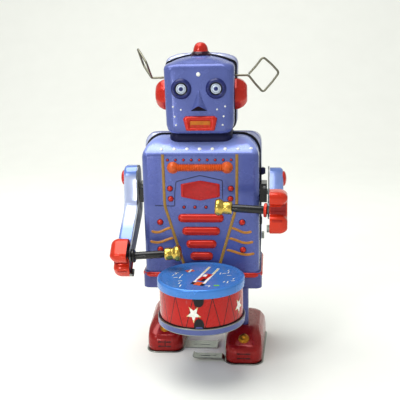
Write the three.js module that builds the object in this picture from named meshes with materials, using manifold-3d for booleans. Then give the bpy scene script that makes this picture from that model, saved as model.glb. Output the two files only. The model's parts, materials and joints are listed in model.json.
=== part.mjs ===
// Clockwork tin robot drummer: a pressed tin body, head and arms round a spring motor
// whose crank slides the two legs to and fro, while each leg swings the arm on its side.
//
// Millimetres, +Z up. The robot faces -Y, and its left hand is on the +X side.
// It stands on z = 0, with the middle of its footprint box at the origin.

import * as THREE from 'three';
import { mergeVertices } from 'three/addons/utils/BufferGeometryUtils.js';
import Module from 'manifold-3d';

const wasm = await Module();
wasm.setup();

// ---------------------------------------------------------------- driving dimensions

const TIN = 0.5; // wall of every pressed shell
const GAP = 0.3; // clearance between neighbouring pieces
const CENTRE_Y = 20; // from the footprint's middle back to the body's seam plane

const STROKE = 17; // travel of each leg
const SWING = THREE.MathUtils.degToRad(40); // swing of each arm over one stroke

const BODY = { width: 76, depth: 47, corner: 4, bottom: 51, bend: 140.2, top: 149.8 };
const FRONT_SHOULDER = { radius: 13, fullness: 0.64 };
const BACK_SHOULDER = { radius: 9, fullness: 0.9 };
const PAN = { width: 79.4, depth: 49.4, corner: 4.5, bottom: 49.6, beadBottom: 57, beadTop: 60.6 };
const HEAD = { width: 45.2, depth: 40.8, corner: 5.7, bottom: 153.8, brow: 193.5, top: 201.8 };
const FRONT_BROW = { across: 3, rise: 3.8, crown: 10 };
const BACK_BROW = { across: 5, rise: 6.2, crown: 15 };
const COLLAR = { width: 40, depth: 29, corner: 6, bottom: 143, top: 153.5 };
const EAR = { z: 176.3, base: 10.9, face: 5.8, reach: 7.2 };
const DRUM = { x: 2, y: -52.5, rim: 27.5, shell: 26.2, bottom: 38.8, top: 68.2 };
const DRUM_RIMS = { top: 5.6, bottom: 4.8 };
const SHOULDER = { z: 110, shaft: 2, bracketIn: 38.3, bracketOut: 43 };
const ARM = { inner: 43.7, plate: 0.9, outer: 54 };
const HAND = { inner: 44.9, outer: 55.7, height: 26, front: -61.6, back: -45, z: 0.2, groove: 2 };
const STICK = { y: -40.3, z: -33, radius: 2.5, from: 52, bellFrom: 21.5, bellTo: 11.5, rise: 4 };
const FOOT = { x: 27.6, toeWidth: 25.5, heelWidth: 30.5, corner: 7, toe: -28.5, heel: 31.5, top: 19.6 };
const SOLE = { thick: 0.8, rim: 0.8 }; // the foot shell stands `rim` inside the sole's edge
const LEG = { x: 23.3, width: 14, depth: 12, top: 48.9 };
const YOKE = { inner: 26.5, outer: 27.7 };
const WIRE = 0.65; // radius of the antenna wire

// Arbors of the motor, as places in the (y, z) plane; every arbor runs along X.
const MODULE = 0.6;
const CRANK = { y: 0, z: 62, radius: 2, discInner: 23.2, discOuter: 25, disc: 10.5, throw: STROKE / 2 };
const WINDING = { y: 8.8, z: 77, radius: 2.5, squareFrom: 36, end: 41, square: 4 };
const TEETH = {
  great: 40, crankPinion: 18, crankWheel: 32, secondPinion: 12, secondWheel: 30, governor: 12,
};
const SECOND = arborBeside(CRANK, TEETH.crankWheel + TEETH.secondPinion, 125);
const GOVERNOR = arborBeside(SECOND, TEETH.secondWheel + TEETH.governor, 110);
const MOTOR = { half: 14, bottom: 51.5, top: 96, front: -20, back: 20 };
const GUIDE = { x: 31, z: 54.5, radius: 1.2, half: 21.6 };

// ---------------------------------------------------------------- materials

function material(colour, roughness, metalness) {
  return () => new THREE.MeshStandardMaterial({ color: colour, roughness, metalness });
}

const violetTin = material('#5864b2', 0.3, 0.3);
const skirtTin = material('#555a8c', 0.35, 0.3);
const navyTin = material('#2a3168', 0.35, 0.3);
const redTin = material('#cd342a', 0.3, 0.2);
const darkRedTin = material('#96201e', 0.35, 0.2);
const drumBlue = material('#4b78c8', 0.3, 0.3);
const rimBlue = material('#6e78be', 0.35, 0.3);
const brass = material('#cdb446', 0.25, 0.9);
const blackSteel = material('#222324', 0.4, 0.6);
const steel = material('#a9abb0', 0.35, 0.9);
const springSteel = material('#5d6470', 0.35, 0.9);

// ---------------------------------------------------------------- outlines

function arborBeside(neighbour, teethTogether, degrees) {
  const distance = (MODULE * teethTogether) / 2;
  const angle = THREE.MathUtils.degToRad(degrees);
  const y = neighbour.y + distance * Math.cos(angle);
  const z = neighbour.z + distance * Math.sin(angle);
  return { y, z, radius: 1 };
}

function polygon(points) {
  return new THREE.Shape(points.map(([u, v]) => new THREE.Vector2(u, v)));
}

function rectangle(u0, u1, v0, v1) {
  return polygon([[u0, v0], [u1, v0], [u1, v1], [u0, v1]]);
}

function circle(u, v, radius) {
  const shape = new THREE.Shape();
  shape.absarc(u, v, radius, 0, 2 * Math.PI, false);
  return shape;
}

function roundedRectangle(u, v, width, height, radius) {
  const right = u + width / 2 - radius;
  const left = u - width / 2 + radius;
  const top = v + height / 2 - radius;
  const bottom = v - height / 2 + radius;
  const shape = new THREE.Shape();
  shape.absarc(right, bottom, radius, -Math.PI / 2, 0, false);
  shape.absarc(right, top, radius, 0, Math.PI / 2, false);
  shape.absarc(left, top, radius, Math.PI / 2, Math.PI, false);
  shape.absarc(left, bottom, radius, Math.PI, 1.5 * Math.PI, false);
  return shape;
}

// The outline round two circles and their outer tangents.
function link(a, b) {
  const along = Math.atan2(b.v - a.v, b.u - a.u);
  const lean = Math.acos((a.r - b.r) / Math.hypot(b.u - a.u, b.v - a.v));
  const shape = new THREE.Shape();
  shape.absarc(b.u, b.v, b.r, along - lean, along + lean, false);
  shape.absarc(a.u, a.v, a.r, along + lean, along - lean + 2 * Math.PI, false);
  return shape;
}

// Spur gear outline with slim straight-sided teeth, one of them centred at the angle `phase`.
function gearOutline(place, teeth, phase) {
  const pitchRadius = (MODULE * teeth) / 2;
  const pitch = (2 * Math.PI) / teeth;
  const rootRadius = pitchRadius - 1.2 * MODULE;
  const tipRadius = pitchRadius + 0.85 * MODULE;
  const flanks = [[-0.28, rootRadius], [-0.09, tipRadius], [0.09, tipRadius], [0.28, rootRadius]];
  const points = [];
  for (let tooth = 0; tooth < teeth; tooth += 1) {
    for (const [share, radius] of flanks) {
      const angle = phase + (tooth + share) * pitch;
      points.push([place.y + radius * Math.cos(angle), place.z + radius * Math.sin(angle)]);
    }
  }
  return polygon(points);
}

// Phase that sets a tooth gap of the driven wheel against a tooth of its driver.
function meshedPhase(driver, driverTeeth, driverPhase, driven, drivenTeeth) {
  const angle = Math.atan2(driven.z - driver.z, driven.y - driver.y);
  const toothShare = ((angle - driverPhase) * driverTeeth) / (2 * Math.PI);
  return angle + Math.PI + ((toothShare - 0.5) * 2 * Math.PI) / drivenTeeth;
}

// ---------------------------------------------------------------- solids

const AXES = {
  x: new THREE.Matrix4().makeBasis(
    new THREE.Vector3(0, 1, 0), new THREE.Vector3(0, 0, 1), new THREE.Vector3(1, 0, 0)),
  y: new THREE.Matrix4().makeBasis(
    new THREE.Vector3(1, 0, 0), new THREE.Vector3(0, 0, 1), new THREE.Vector3(0, -1, 0)),
  z: new THREE.Matrix4(),
};

// Extrudes an outline along an axis between two places on it. The outline is drawn in
// (y, z) for x, in (x, z) for y and in (x, y) for z.
function extrude(shape, along, from, to, curveSegments = 3) {
  const low = Math.min(from, to);
  const high = Math.max(from, to);
  const settings = { depth: high - low, bevelEnabled: false, curveSegments };
  const geometry = new THREE.ExtrudeGeometry(shape, settings);
  geometry.translate(0, 0, along === 'y' ? -high : low);
  return solid(geometry.applyMatrix4(AXES[along]));
}

function rod(along, from, to, u, v, radius, sides = 12) {
  return extrude(circle(u, v, radius), along, from, to, sides / 2);
}

// Turns a (radius, height) profile round the Z axis.
function turn(profile, segments) {
  const points = profile.map(([radius, height]) => new THREE.Vector2(radius, height));
  return solid(new THREE.LatheGeometry(points, segments).rotateX(Math.PI / 2));
}

// Bends a wire of round section through the given corners.
function wire(corners, radius) {
  const bend = 0.25;
  const path = new THREE.CurvePath();
  let start = corners[0];
  for (let i = 1; i < corners.length - 1; i += 1) {
    const into = corners[i].clone().lerp(corners[i - 1], bend);
    const out = corners[i].clone().lerp(corners[i + 1], bend);
    path.add(new THREE.LineCurve3(start, into));
    path.add(new THREE.QuadraticBezierCurve3(into, corners[i], out));
    start = out;
  }
  path.add(new THREE.LineCurve3(start, corners.at(-1)));
  const section = circle(0, 0, radius);
  const geometry = new THREE.ExtrudeGeometry(section, { extrudePath: path, steps: 30, curveSegments: 3 });
  return solid(geometry);
}

function solid(geometry) {
  geometry.deleteAttribute('normal');
  geometry.deleteAttribute('uv');
  const merged = mergeVertices(geometry, 1e-4);
  const index = merged.index.array;
  const triangles = [];
  for (let i = 0; i < index.length; i += 3) {
    const [a, b, c] = [index[i], index[i + 1], index[i + 2]];
    if (a !== b && b !== c && c !== a) {
      triangles.push(a, b, c);
    }
  }
  return new wasm.Manifold(new wasm.Mesh({
    numProp: 3,
    vertProperties: new Float32Array(merged.attributes.position.array),
    triVerts: new Uint32Array(triangles),
  }));
}

function geometryOf(piece) {
  const mesh = piece.getMesh();
  const geometry = new THREE.BufferGeometry();
  geometry.setAttribute('position', new THREE.BufferAttribute(new Float32Array(mesh.vertProperties), 3));
  geometry.setIndex(new THREE.BufferAttribute(new Uint32Array(mesh.triVerts), 1));
  return geometry;
}

function join(...pieces) {
  return pieces.reduce((whole, piece) => whole.add(piece));
}

function cut(piece, ...tools) {
  return tools.reduce((whole, tool) => whole.subtract(tool), piece);
}

function block(x0, x1, y0, y1, z0, z1) {
  return extrude(rectangle(x0, x1, y0, y1), 'z', z0, z1);
}

const group = new THREE.Group();
group.name = 'robot_drummer';
const assembly = new THREE.Group();
assembly.position.y = CENTRE_Y;
group.add(assembly);

function add(name, piece, finish, parent = assembly) {
  const geometry = geometryOf(piece);
  const mesh = new THREE.Mesh(geometry, finish());
  mesh.name = name;
  parent.add(mesh);
}

// ---------------------------------------------------------------- body

// One half of the body's outer form, moved inwards by `inset`: a rounded box with rounded
// shoulders and a roof that rises from the panel to the seam.
function bodyHalf(inset, bottom, facing, { radius, fullness }) {
  const halfWidth = BODY.width / 2 - inset;
  const halfDepth = BODY.depth / 2 - inset;
  const top = BODY.top - inset;
  const plan = roundedRectangle(0, 0, 2 * halfWidth, 2 * halfDepth, BODY.corner - inset);
  const front = new THREE.Shape();
  front.moveTo(-halfWidth, bottom);
  front.lineTo(halfWidth, bottom);
  front.absarc(halfWidth - radius, top - radius, radius, 0, Math.PI / 2, false);
  front.absarc(-halfWidth + radius, top - radius, radius, Math.PI / 2, Math.PI, false);
  const side = new THREE.Shape();
  side.moveTo(0, bottom);
  side.lineTo(facing * halfDepth, bottom);
  side.lineTo(facing * halfDepth, BODY.bend - inset);
  side.quadraticCurveTo(facing * fullness * halfDepth, top, 0, top);
  return extrude(plan, 'z', bottom, top + 1)
    .intersect(extrude(front, 'y', -halfDepth - 1, halfDepth + 1, 3))
    .intersect(extrude(side, 'x', -halfWidth - 1, halfWidth + 1, 4));
}

// The back half is pressed fuller than the front one, and shows beyond it at the seam.
function bodyForm(inset, bottom) {
  return join(bodyHalf(inset, bottom, -1, FRONT_SHOULDER), bodyHalf(inset, bottom, 1, BACK_SHOULDER));
}

// A bar of half-round section lying along X on the front panel.
function frontBar(half, z, height, proud) {
  const face = -BODY.depth / 2 + 0.4;
  const section = new THREE.Shape();
  section.absellipse(face, z, proud + 0.4, height / 2, Math.PI / 2, 1.5 * Math.PI, false, 0);
  return extrude(section, 'x', -half, half, 3);
}

// A round-headed stud on a front face.
function stud(x, y, z, radius, proud) {
  const profile = [[0, -0.4], [radius, -0.4], [radius, 0.1], [0.7 * radius, 0.7 * proud], [0, proud]];
  return turn(profile, 8).rotate([90, 0, 0]).translate([x, y, z]);
}

function chestRelief() {
  const face = -BODY.depth / 2;
  const relief = [];
  const louvres = [[15, 97.6], [12.5, 88.8], [10, 79.9], [7.5, 71.6]];
  for (const [half, z] of louvres) {
    relief.push(frontBar(half, z, 5.8, 1.8));
  }
  relief.push(frontBar(16, 131.3, 4.6, 2.3));
  const hexagon = polygon([[0, 109.8], [12, 112.1], [12, 120.2], [0, 122.4], [-12, 120.2], [-12, 112.1]]);
  relief.push(extrude(hexagon, 'y', face - 0.8, face + 0.4));
  for (const side of [-1, 1]) {
    relief.push(stud(side * 17.5, face, 131.3, 3.8, 3));
    relief.push(stud(side * 19.8, face, 117.4, 1.7, 1.2));
    relief.push(stud(side * 19.5, face, 110.6, 1.7, 1.2));
    relief.push(stud(side * 27, face, 94.8, 1.9, 1.3));
    relief.push(stud(side * 27.4, face, 76.1, 1.9, 1.3));
  }
  return relief;
}

function buildBody() {
  const hollow = bodyForm(0, BODY.bottom).subtract(bodyForm(TIN, BODY.bottom - 1));
  const shaftHole = rod('x', -60, 60, 0, SHOULDER.z, SHOULDER.shaft + 0.5);
  const windingHole = rod('x', 20, 60, WINDING.y, WINDING.z, WINDING.radius + 1);
  const frontHalf = block(-60, 60, -60, -GAP / 2, 0, 200);
  const backHalf = block(-60, 60, GAP / 2, 60, 0, 200);
  const front = join(hollow.intersect(frontHalf), ...chestRelief());
  add('body_front_shell', cut(front, shaftHole), violetTin);
  add('body_back_shell', cut(hollow.intersect(backHalf), shaftHole, windingHole), violetTin);
}

function buildPan() {
  const ring = (width, depth, corner) => roundedRectangle(0, 0, width, depth, corner);
  const bead = (PAN.beadTop - PAN.beadBottom) / 3;
  const outer = join(
    extrude(ring(PAN.width, PAN.depth, PAN.corner), 'z', PAN.bottom, PAN.beadTop - bead),
    extrude(ring(PAN.width - 1, PAN.depth - 1, PAN.corner - 0.5), 'z', PAN.bottom, PAN.beadTop));
  const room = extrude(ring(PAN.width - 2 * TIN, BODY.depth + 0.8, PAN.corner - TIN), 'z',
    PAN.bottom + TIN, PAN.beadBottom + 0.5);
  const mouth = extrude(ring(BODY.width + 2 * GAP, BODY.depth + 2 * GAP, BODY.corner + GAP), 'z',
    PAN.bottom + TIN, PAN.beadTop + 1);
  const slots = [-1, 1].map((side) => {
    const middle = (side * (YOKE.inner + YOKE.outer)) / 2;
    const reach = STROKE / 2 + 6;
    return block(middle - 1.2, middle + 1.2, -reach, reach, PAN.bottom - 1, PAN.bottom + 2);
  });
  add('base_pan', cut(outer, room, mouth, ...slots), skirtTin);
}

function buildCollar() {
  const outer = extrude(roundedRectangle(0, 0, COLLAR.width, COLLAR.depth, COLLAR.corner), 'z',
    COLLAR.bottom, COLLAR.top);
  const inner = extrude(
    roundedRectangle(0, 0, COLLAR.width - 2, COLLAR.depth - 2, COLLAR.corner - 1), 'z',
    COLLAR.bottom - 1, COLLAR.top + 1);
  const collar = cut(outer, inner, bodyForm(-GAP, BODY.bottom));
  add('neck_collar', collar, navyTin);
}

// ---------------------------------------------------------------- head

function headHalf(inset, bottom, facing, { across, rise, crown }) {
  const halfWidth = HEAD.width / 2 - inset;
  const halfDepth = HEAD.depth / 2 - inset;
  const top = HEAD.top - inset;
  const brow = HEAD.brow - inset;
  const plan = roundedRectangle(0, 0, 2 * halfWidth, 2 * halfDepth, HEAD.corner - inset);
  const roofLine = (shape, side, half) => {
    shape.lineTo(side * half, brow);
    shape.quadraticCurveTo(side * half, brow + 0.8 * rise, side * (half - across), brow + rise);
    shape.quadraticCurveTo(side * crown, top, 0, top);
  };
  const front = new THREE.Shape();
  front.moveTo(0, bottom);
  front.lineTo(halfWidth, bottom);
  roofLine(front, 1, halfWidth);
  front.quadraticCurveTo(-crown, top, -halfWidth + across, brow + rise);
  front.quadraticCurveTo(-halfWidth, brow + 0.8 * rise, -halfWidth, brow);
  front.lineTo(-halfWidth, bottom);
  const side = new THREE.Shape();
  side.moveTo(0, bottom);
  side.lineTo(facing * halfDepth, bottom);
  roofLine(side, facing, halfDepth);
  return extrude(plan, 'z', bottom, top + 1, 2)
    .intersect(extrude(front, 'y', -halfDepth - 1, halfDepth + 1, 3))
    .intersect(extrude(side, 'x', -halfWidth - 1, halfWidth + 1, 3));
}

function headForm(inset, bottom) {
  return join(headHalf(inset, bottom, -1, FRONT_BROW), headHalf(inset, bottom, 1, BACK_BROW));
}

function faceRelief() {
  const face = -HEAD.depth / 2;
  const relief = [];
  for (const side of [-1, 1]) {
    relief.push(rod('y', face - 0.7, face + 0.4, side * 11, 181.5, 6.5, 16));
    relief.push(rod('y', face - 1.2, face + 0.4, side * 11, 181.5, 4, 12));
  }
  const noseSide = polygon([[face + 0.4, 181.2], [face - 5.2, 169.3], [face + 0.4, 167.5]]);
  const noseFront = polygon([[0, 181.2], [-5.4, 167.4], [5.4, 167.4]]);
  relief.push(extrude(noseSide, 'x', -6, 6).intersect(extrude(noseFront, 'y', face - 8, face + 0.4)));
  const lips = polygon([
    [-9.2, 154.9], [9.2, 154.9], [11.1, 162.7], [9.3, 164.1], [-9.3, 164.1], [-11.1, 162.7]]);
  relief.push(extrude(lips, 'y', face - 1.6, face + 0.4));
  return relief;
}

function buildHead() {
  const hollow = headForm(0, HEAD.bottom).subtract(headForm(TIN, HEAD.bottom - 1));
  const front = hollow.intersect(block(-40, 40, -40, -GAP / 2, 100, 220));
  const mouthSlot = rectangle(-6, 6, 157.4, 160.7);
  const mouthCut = extrude(mouthSlot, 'y', -HEAD.depth / 2 - 3, -HEAD.depth / 2 - 0.6);
  add('head_front_shell', cut(join(front, ...faceRelief()), mouthCut), violetTin);
  add('head_back_shell', hollow.intersect(block(-40, 40, GAP / 2, 40, 100, 220)), violetTin);

  const foot = HEAD.top + GAP;
  const dome = [[0, foot], [6.1, foot], [5.9, 203], [4.9, 204.2], [4.5, 206.4], [3.1, 208.8], [0, 209.8]];
  add('head_dome', turn(dome, 16), redTin);

  for (const [side, sideName] of [[1, 'left'], [-1, 'right']]) {
    const root = HEAD.width / 2 + GAP;
    const ear = turn([[0, 0], [EAR.base, 0], [EAR.base - 0.3, 1.8], [0.82 * EAR.base, 4.9],
      [EAR.face, EAR.reach], [0, EAR.reach]], 8);
    const placed = ear.rotate([0, 0, 22.5]).rotate([0, 90 * side, 0]).translate([side * root, 0, EAR.z]);
    add(`${sideName}_ear`, placed, redTin);
  }
}

// One bent wire: a stem out of the head, then an open four-cornered loop. `u` runs from
// the loop's near corner to its far one, and `v` across it.
function antenna(root, elbow, u, v) {
  const corner = (along, across) => elbow.clone().addScaledVector(u, along).addScaledVector(v, across);
  return wire([root, elbow, corner(9.5, -12), corner(20, 0), corner(9.5, 11), corner(1.2, 2.6)], WIRE);
}

function buildAntennas() {
  const side = HEAD.width / 2 + GAP;
  const leftRoot = new THREE.Vector3(side, 0, 188.1);
  const leftElbow = new THREE.Vector3(31, 0, 188.1);
  const faceOn = new THREE.Vector3(0, 0, 1);
  add('left_antenna', antenna(leftRoot, leftElbow, new THREE.Vector3(1, 0, 0.07), faceOn), steel);
  const rightRoot = new THREE.Vector3(-side, 0, 187.4);
  const rightElbow = new THREE.Vector3(-31.5, 0, 187);
  const upAndOut = new THREE.Vector3(-0.43, 0, 0.9);
  const edgeOn = new THREE.Vector3(0.28, -0.95, 0.134);
  add('right_antenna', antenna(rightRoot, rightElbow, upAndOut, edgeOn), steel);
}

// ---------------------------------------------------------------- drum

function buildDrum() {
  const segments = 32;
  const place = [DRUM.x, DRUM.y, 0];
  const rimIn = DRUM.shell + GAP;
  const topEdge = DRUM.top - DRUM_RIMS.top;
  const lid = [[0, DRUM.top - 1.4], [rimIn, DRUM.top - 1.4], [rimIn, topEdge], [DRUM.rim, topEdge],
    [DRUM.rim, DRUM.top], [DRUM.rim - 1.4, DRUM.top], [DRUM.rim - 2, DRUM.top - 0.6], [0, DRUM.top - 0.6]];
  add('drum_top', turn(lid, segments).translate(place), drumBlue);
  const bottomEdge = DRUM.bottom + DRUM_RIMS.bottom;
  const base = [[0, DRUM.bottom], [DRUM.rim, DRUM.bottom], [DRUM.rim, bottomEdge], [rimIn, bottomEdge],
    [rimIn, DRUM.bottom + TIN], [0, DRUM.bottom + TIN]];
  add('drum_bottom', turn(base, segments).translate(place), rimBlue);
  const low = DRUM.bottom + TIN + GAP;
  const high = DRUM.top - 1.4 - GAP;
  const inside = DRUM.shell - TIN;
  const band = [[inside, low], [DRUM.shell, low], [DRUM.shell, high], [inside, high], [inside, low]];
  add('drum_band', turn(band, segments).translate(place), redTin);

  const front = -PAN.depth / 2 - GAP;
  const upright = block(DRUM.x - 7, DRUM.x + 7, front - 0.9, front, bottomEdge + GAP, 58);
  const tongue = block(DRUM.x - 7, DRUM.x + 7, front - 0.9, -8, PAN.bottom - GAP - TIN, PAN.bottom - GAP);
  add('drum_bracket', join(upright, tongue), rimBlue);
}

// ---------------------------------------------------------------- arms

// The arm is drawn hanging, round its pivot at (0, 0): upper arm, elbow and forearm.
function armOutline(inset) {
  const shoulder = { u: 0, v: 11, r: 7.6 - inset };
  const elbow = { u: 1, v: -10.5, r: 7.5 - inset };
  const wrist = { u: -27.5, v: -27, r: 5.8 - inset };
  return [link(shoulder, elbow), link(elbow, wrist)];
}

function armSolid(inset, from, to) {
  return join(...armOutline(inset).map((shape) => extrude(shape, 'x', from, to, 4)));
}

// A fist with a groove across its front, drawn upright as on the raised arm. Its hollow
// opens towards the body, and the drumstick stands in it behind the groove.
function handForm(side, inset, from, to) {
  const { front, back, height, z, groove } = HAND;
  const depth = back - front - 2 * inset;
  const fist = roundedRectangle((front + back) / 2, z, depth, height - 2 * inset, 6 - inset);
  const half = 4 + inset;
  const grip = link({ u: front + 1, v: groove, r: half }, { u: front - 8, v: groove, r: half + 0.01 });
  const block = extrude(fist, 'x', side * from, side * to, 2);
  const form = cut(block, extrude(grip, 'x', side * 30, side * 60, 3));
  return form.rotate([THREE.MathUtils.radToDeg(SWING), 0, 0]);
}

function hand(side) {
  return cut(handForm(side, 0, HAND.inner, HAND.outer), handForm(side, 1, HAND.inner - 5, HAND.outer - 1));
}

// The shaft carries a lever inside the body, whose pin lies in a slot of the leg plate. The
// lever hangs straight down at mid-stroke, when the arm is half raised.
function shoulderShaft(side) {
  const lever = 24.6;
  const lean = SWING / 2;
  const shaft = rod('x', side * 29.2, side * 50.6, 0, 0, SHOULDER.shaft);
  const foot = { u: lever * Math.sin(lean), v: -lever * Math.cos(lean), r: 2.4 };
  const arm = extrude(link({ u: 0, v: 0, r: 4 }, foot), 'x', side * 29.2, side * 30.4, 3);
  const pin = rod('x', side * 26, side * 29.8, foot.u, foot.v, 1.5);
  return join(shaft, arm, pin);
}

function drumstick(side) {
  const place = (piece) => piece.rotate([0, 90 * side, 0]).rotate([0, side * STICK.rise, 0])
    .translate([side * STICK.from, STICK.y, STICK.z]);
  const length = STICK.from - STICK.bellFrom;
  const collar = STICK.from - ARM.inner + GAP;
  const stick = turn([[0, -length], [STICK.radius, -length], [STICK.radius, -collar - 1.8],
    [4.4, -collar - 1.8], [4.4, -collar], [STICK.radius, -collar], [STICK.radius, 0], [0, 0]], 12);
  const reach = STICK.bellFrom - STICK.bellTo;
  const neck = -length - GAP;
  const mouth = neck - reach;
  const bell = [[0, mouth + 1.6], [2.6, mouth + 1.2], [4.6, mouth], [5.2, mouth + 0.4], [5, mouth + 2.2],
    [3.1, mouth + 4.2], [3.1, mouth + 5.2], [3.5, mouth + 5.8], [3.5, neck], [0, neck]];
  return { stick: place(stick), bell: place(turn(bell, 14)) };
}

function buildArm(side, name, raised) {
  const arm = new THREE.Group();
  arm.position.z = SHOULDER.z;
  arm.rotation.x = -raised;
  assembly.add(arm);
  const plateTo = side * (ARM.inner + ARM.plate);
  const shellFrom = plateTo + side * GAP;
  const shell = cut(armSolid(0, shellFrom, side * ARM.outer),
    armSolid(TIN, side * 40, side * (ARM.outer - TIN)));
  add(`${name}_arm_shell`, shell, violetTin, arm);
  const shaftHole = rod('x', side * 40, side * 48, 0, 0, SHOULDER.shaft + 0.4);
  const slotOutline = link({ u: 0.5, v: -5.5, r: 1.3 }, { u: 0.8, v: -12, r: 1.3 });
  const slot = extrude(slotOutline, 'x', side * 40, side * 48);
  const palm = link({ u: -27.5, v: -27, r: 5.8 }, { u: STICK.y, v: STICK.z + 0.5, r: 5 });
  const plateFrom = side * ARM.inner;
  const backing = join(armSolid(0, plateFrom, plateTo), extrude(palm, 'x', plateFrom, plateTo, 4));
  const stickHole = rod('x', side * 40, side * 48, STICK.y, STICK.z + 0.55, STICK.radius + 0.4);
  add(`${name}_arm_plate`, cut(backing, shaftHole, slot, stickHole), blackSteel, arm);
  const boss = turn([[0, 0], [5, 0], [4.6, 1], [3, 1.6], [0, 1.9]], 16);
  const bossPlaced = boss.rotate([0, 90 * side, 0]).translate([side * (ARM.outer + GAP), 0, 10]);
  add(`${name}_shoulder_cap`, bossPlaced, redTin, arm);
  add(`${name}_hand`, hand(side), redTin, arm);
  add(`${name}_shoulder_shaft`, shoulderShaft(side), steel, arm);
  const { stick, bell } = drumstick(side);
  add(`${name}_drumstick`, stick, blackSteel, arm);
  add(`${name}_drumstick_bell`, bell, brass, arm);

  const bracketHole = rod('x', side * 30, side * 50, 0, SHOULDER.z, SHOULDER.shaft + 0.5);
  const eyelet = rod('y', -10, 10, side * 41.4, 114.2, 1.1, 8);
  const outline = rectangle(-6, 6, SHOULDER.z - 6, SHOULDER.z + 6.7);
  const bracket = extrude(outline, 'x', side * SHOULDER.bracketIn, side * SHOULDER.bracketOut);
  add(`${name}_shoulder_bracket`, cut(bracket, bracketHole, eyelet), blackSteel);
}

// ---------------------------------------------------------------- legs

// Side view of the foot shell: an upright toe, a slope up to the instep, and a heel that
// leans forward.
function footSide(inset) {
  const toe = FOOT.toe + SOLE.rim;
  const heel = FOOT.heel - SOLE.rim;
  const { top } = FOOT;
  const low = SOLE.thick + GAP - (inset > 0 ? 1 : 0);
  const shape = new THREE.Shape();
  shape.moveTo(toe + inset, low);
  shape.lineTo(heel - inset, low);
  shape.absarc(heel - 7.5, top - 5, 5 - inset, 0, Math.PI / 2, false);
  shape.lineTo(toe + 20, top - inset);
  shape.lineTo(toe + 15, top - 1 - inset);
  shape.lineTo(toe + 2 + inset, 13 - inset);
  shape.lineTo(toe + inset, 9.5 - inset);
  return shape;
}

// Seen from above the foot widens towards the heel.
function footPlan(inset) {
  const radius = FOOT.corner - inset;
  const toe = { u: FOOT.toeWidth / 2 - FOOT.corner, v: FOOT.toe + FOOT.corner };
  const heel = { u: FOOT.heelWidth / 2 - FOOT.corner, v: FOOT.heel - FOOT.corner };
  const lean = Math.atan2(heel.u - toe.u, heel.v - toe.v);
  const shape = new THREE.Shape();
  shape.absarc(toe.u, toe.v, radius, -Math.PI / 2, -lean, false);
  shape.absarc(heel.u, heel.v, radius, -lean, Math.PI / 2, false);
  shape.absarc(-heel.u, heel.v, radius, Math.PI / 2, Math.PI + lean, false);
  shape.absarc(-toe.u, toe.v, radius, Math.PI + lean, 1.5 * Math.PI, false);
  return shape;
}

function footShell() {
  const form = (inset) => extrude(footSide(inset), 'x', -FOOT.heelWidth, FOOT.heelWidth, 2)
    .intersect(extrude(footPlan(SOLE.rim + inset), 'z', -1, FOOT.top + 1, 2));
  return form(0).subtract(form(TIN));
}

function buildLeg(side, name, position) {
  const leg = new THREE.Group();
  leg.position.y = position;
  assembly.add(leg);

  const tubeOut = roundedRectangle(side * LEG.x, 0, LEG.width, LEG.depth, 2);
  const tubeIn = roundedRectangle(side * LEG.x, 0, LEG.width - 2 * TIN, LEG.depth - 2 * TIN, 1.2);
  const tube = cut(extrude(tubeOut, 'z', SOLE.thick + 0.4, LEG.top, 1), extrude(tubeIn, 'z', 0, 60, 1));
  add(`${name}_leg_tube`, tube, skirtTin, leg);

  const plate = join(
    extrude(rectangle(-5, 5, 30, 74), 'x', side * YOKE.inner, side * YOKE.outer),
    extrude(rectangle(-12.5, -6.5, 71, 92), 'x', side * YOKE.inner, side * YOKE.outer),
    extrude(rectangle(-8, 4.5, 71, 74), 'x', side * YOKE.inner, side * YOKE.outer),
    extrude(rectangle(-12, 4.5, 81.3, 92), 'x', side * YOKE.inner, side * YOKE.outer),
    extrude(rectangle(side * 27.4, side * 33.2, GUIDE.z - 2.2, GUIDE.z + 2.2), 'y', -3, 3));
  const crankSlot = extrude(rectangle(-1.9, 1.9, 51.7, 72.3), 'x', side * 20, side * 40);
  const leverSlot = extrude(rectangle(-2.1, 2.1, 83.2, 89.5), 'x', side * 20, side * 40);
  const guideHole = rod('y', -10, 10, side * GUIDE.x, GUIDE.z, GUIDE.radius + 0.35);
  add(`${name}_leg_plate`, cut(plate, crankSlot, leverSlot, guideHole), steel, leg);

  const tubeRoom = roundedRectangle(side * LEG.x, 0, LEG.width + 2 * GAP, LEG.depth + 2 * GAP, 2.3);
  const ankle = extrude(tubeRoom, 'z', FOOT.top - 8, FOOT.top + 5);
  add(`${name}_foot_shell`, cut(footShell().translate([side * FOOT.x, 0, 0]), ankle), darkRedTin, leg);

  const soleEdge = FOOT.x - FOOT.toeWidth / 2;
  const sole = extrude(footPlan(0), 'z', 0, SOLE.thick, 2).translate([side * FOOT.x, 0, 0]);
  const tab = outrigger(side, soleEdge);
  add(`${name}_sole_plate`, join(sole, tab), steel, leg);

  const rise = FOOT.top - 1 - 13;
  const slope = Math.atan2(rise, 13);
  const along = 5.5;
  const lift = GAP + 0.1;
  const stud = turn([[0, 0], [3.2, 0], [3, 1.1], [1.9, 2], [0, 2.4]], 12)
    .rotate([THREE.MathUtils.radToDeg(slope), 0, 0])
    .translate([side * FOOT.x, FOOT.toe + SOLE.rim + 2 + along - lift * Math.sin(slope),
      13 + (along * rise) / 13 + lift * Math.cos(slope)]);
  add(`${name}_toe_stud`, stud, brass, leg);
}

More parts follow.
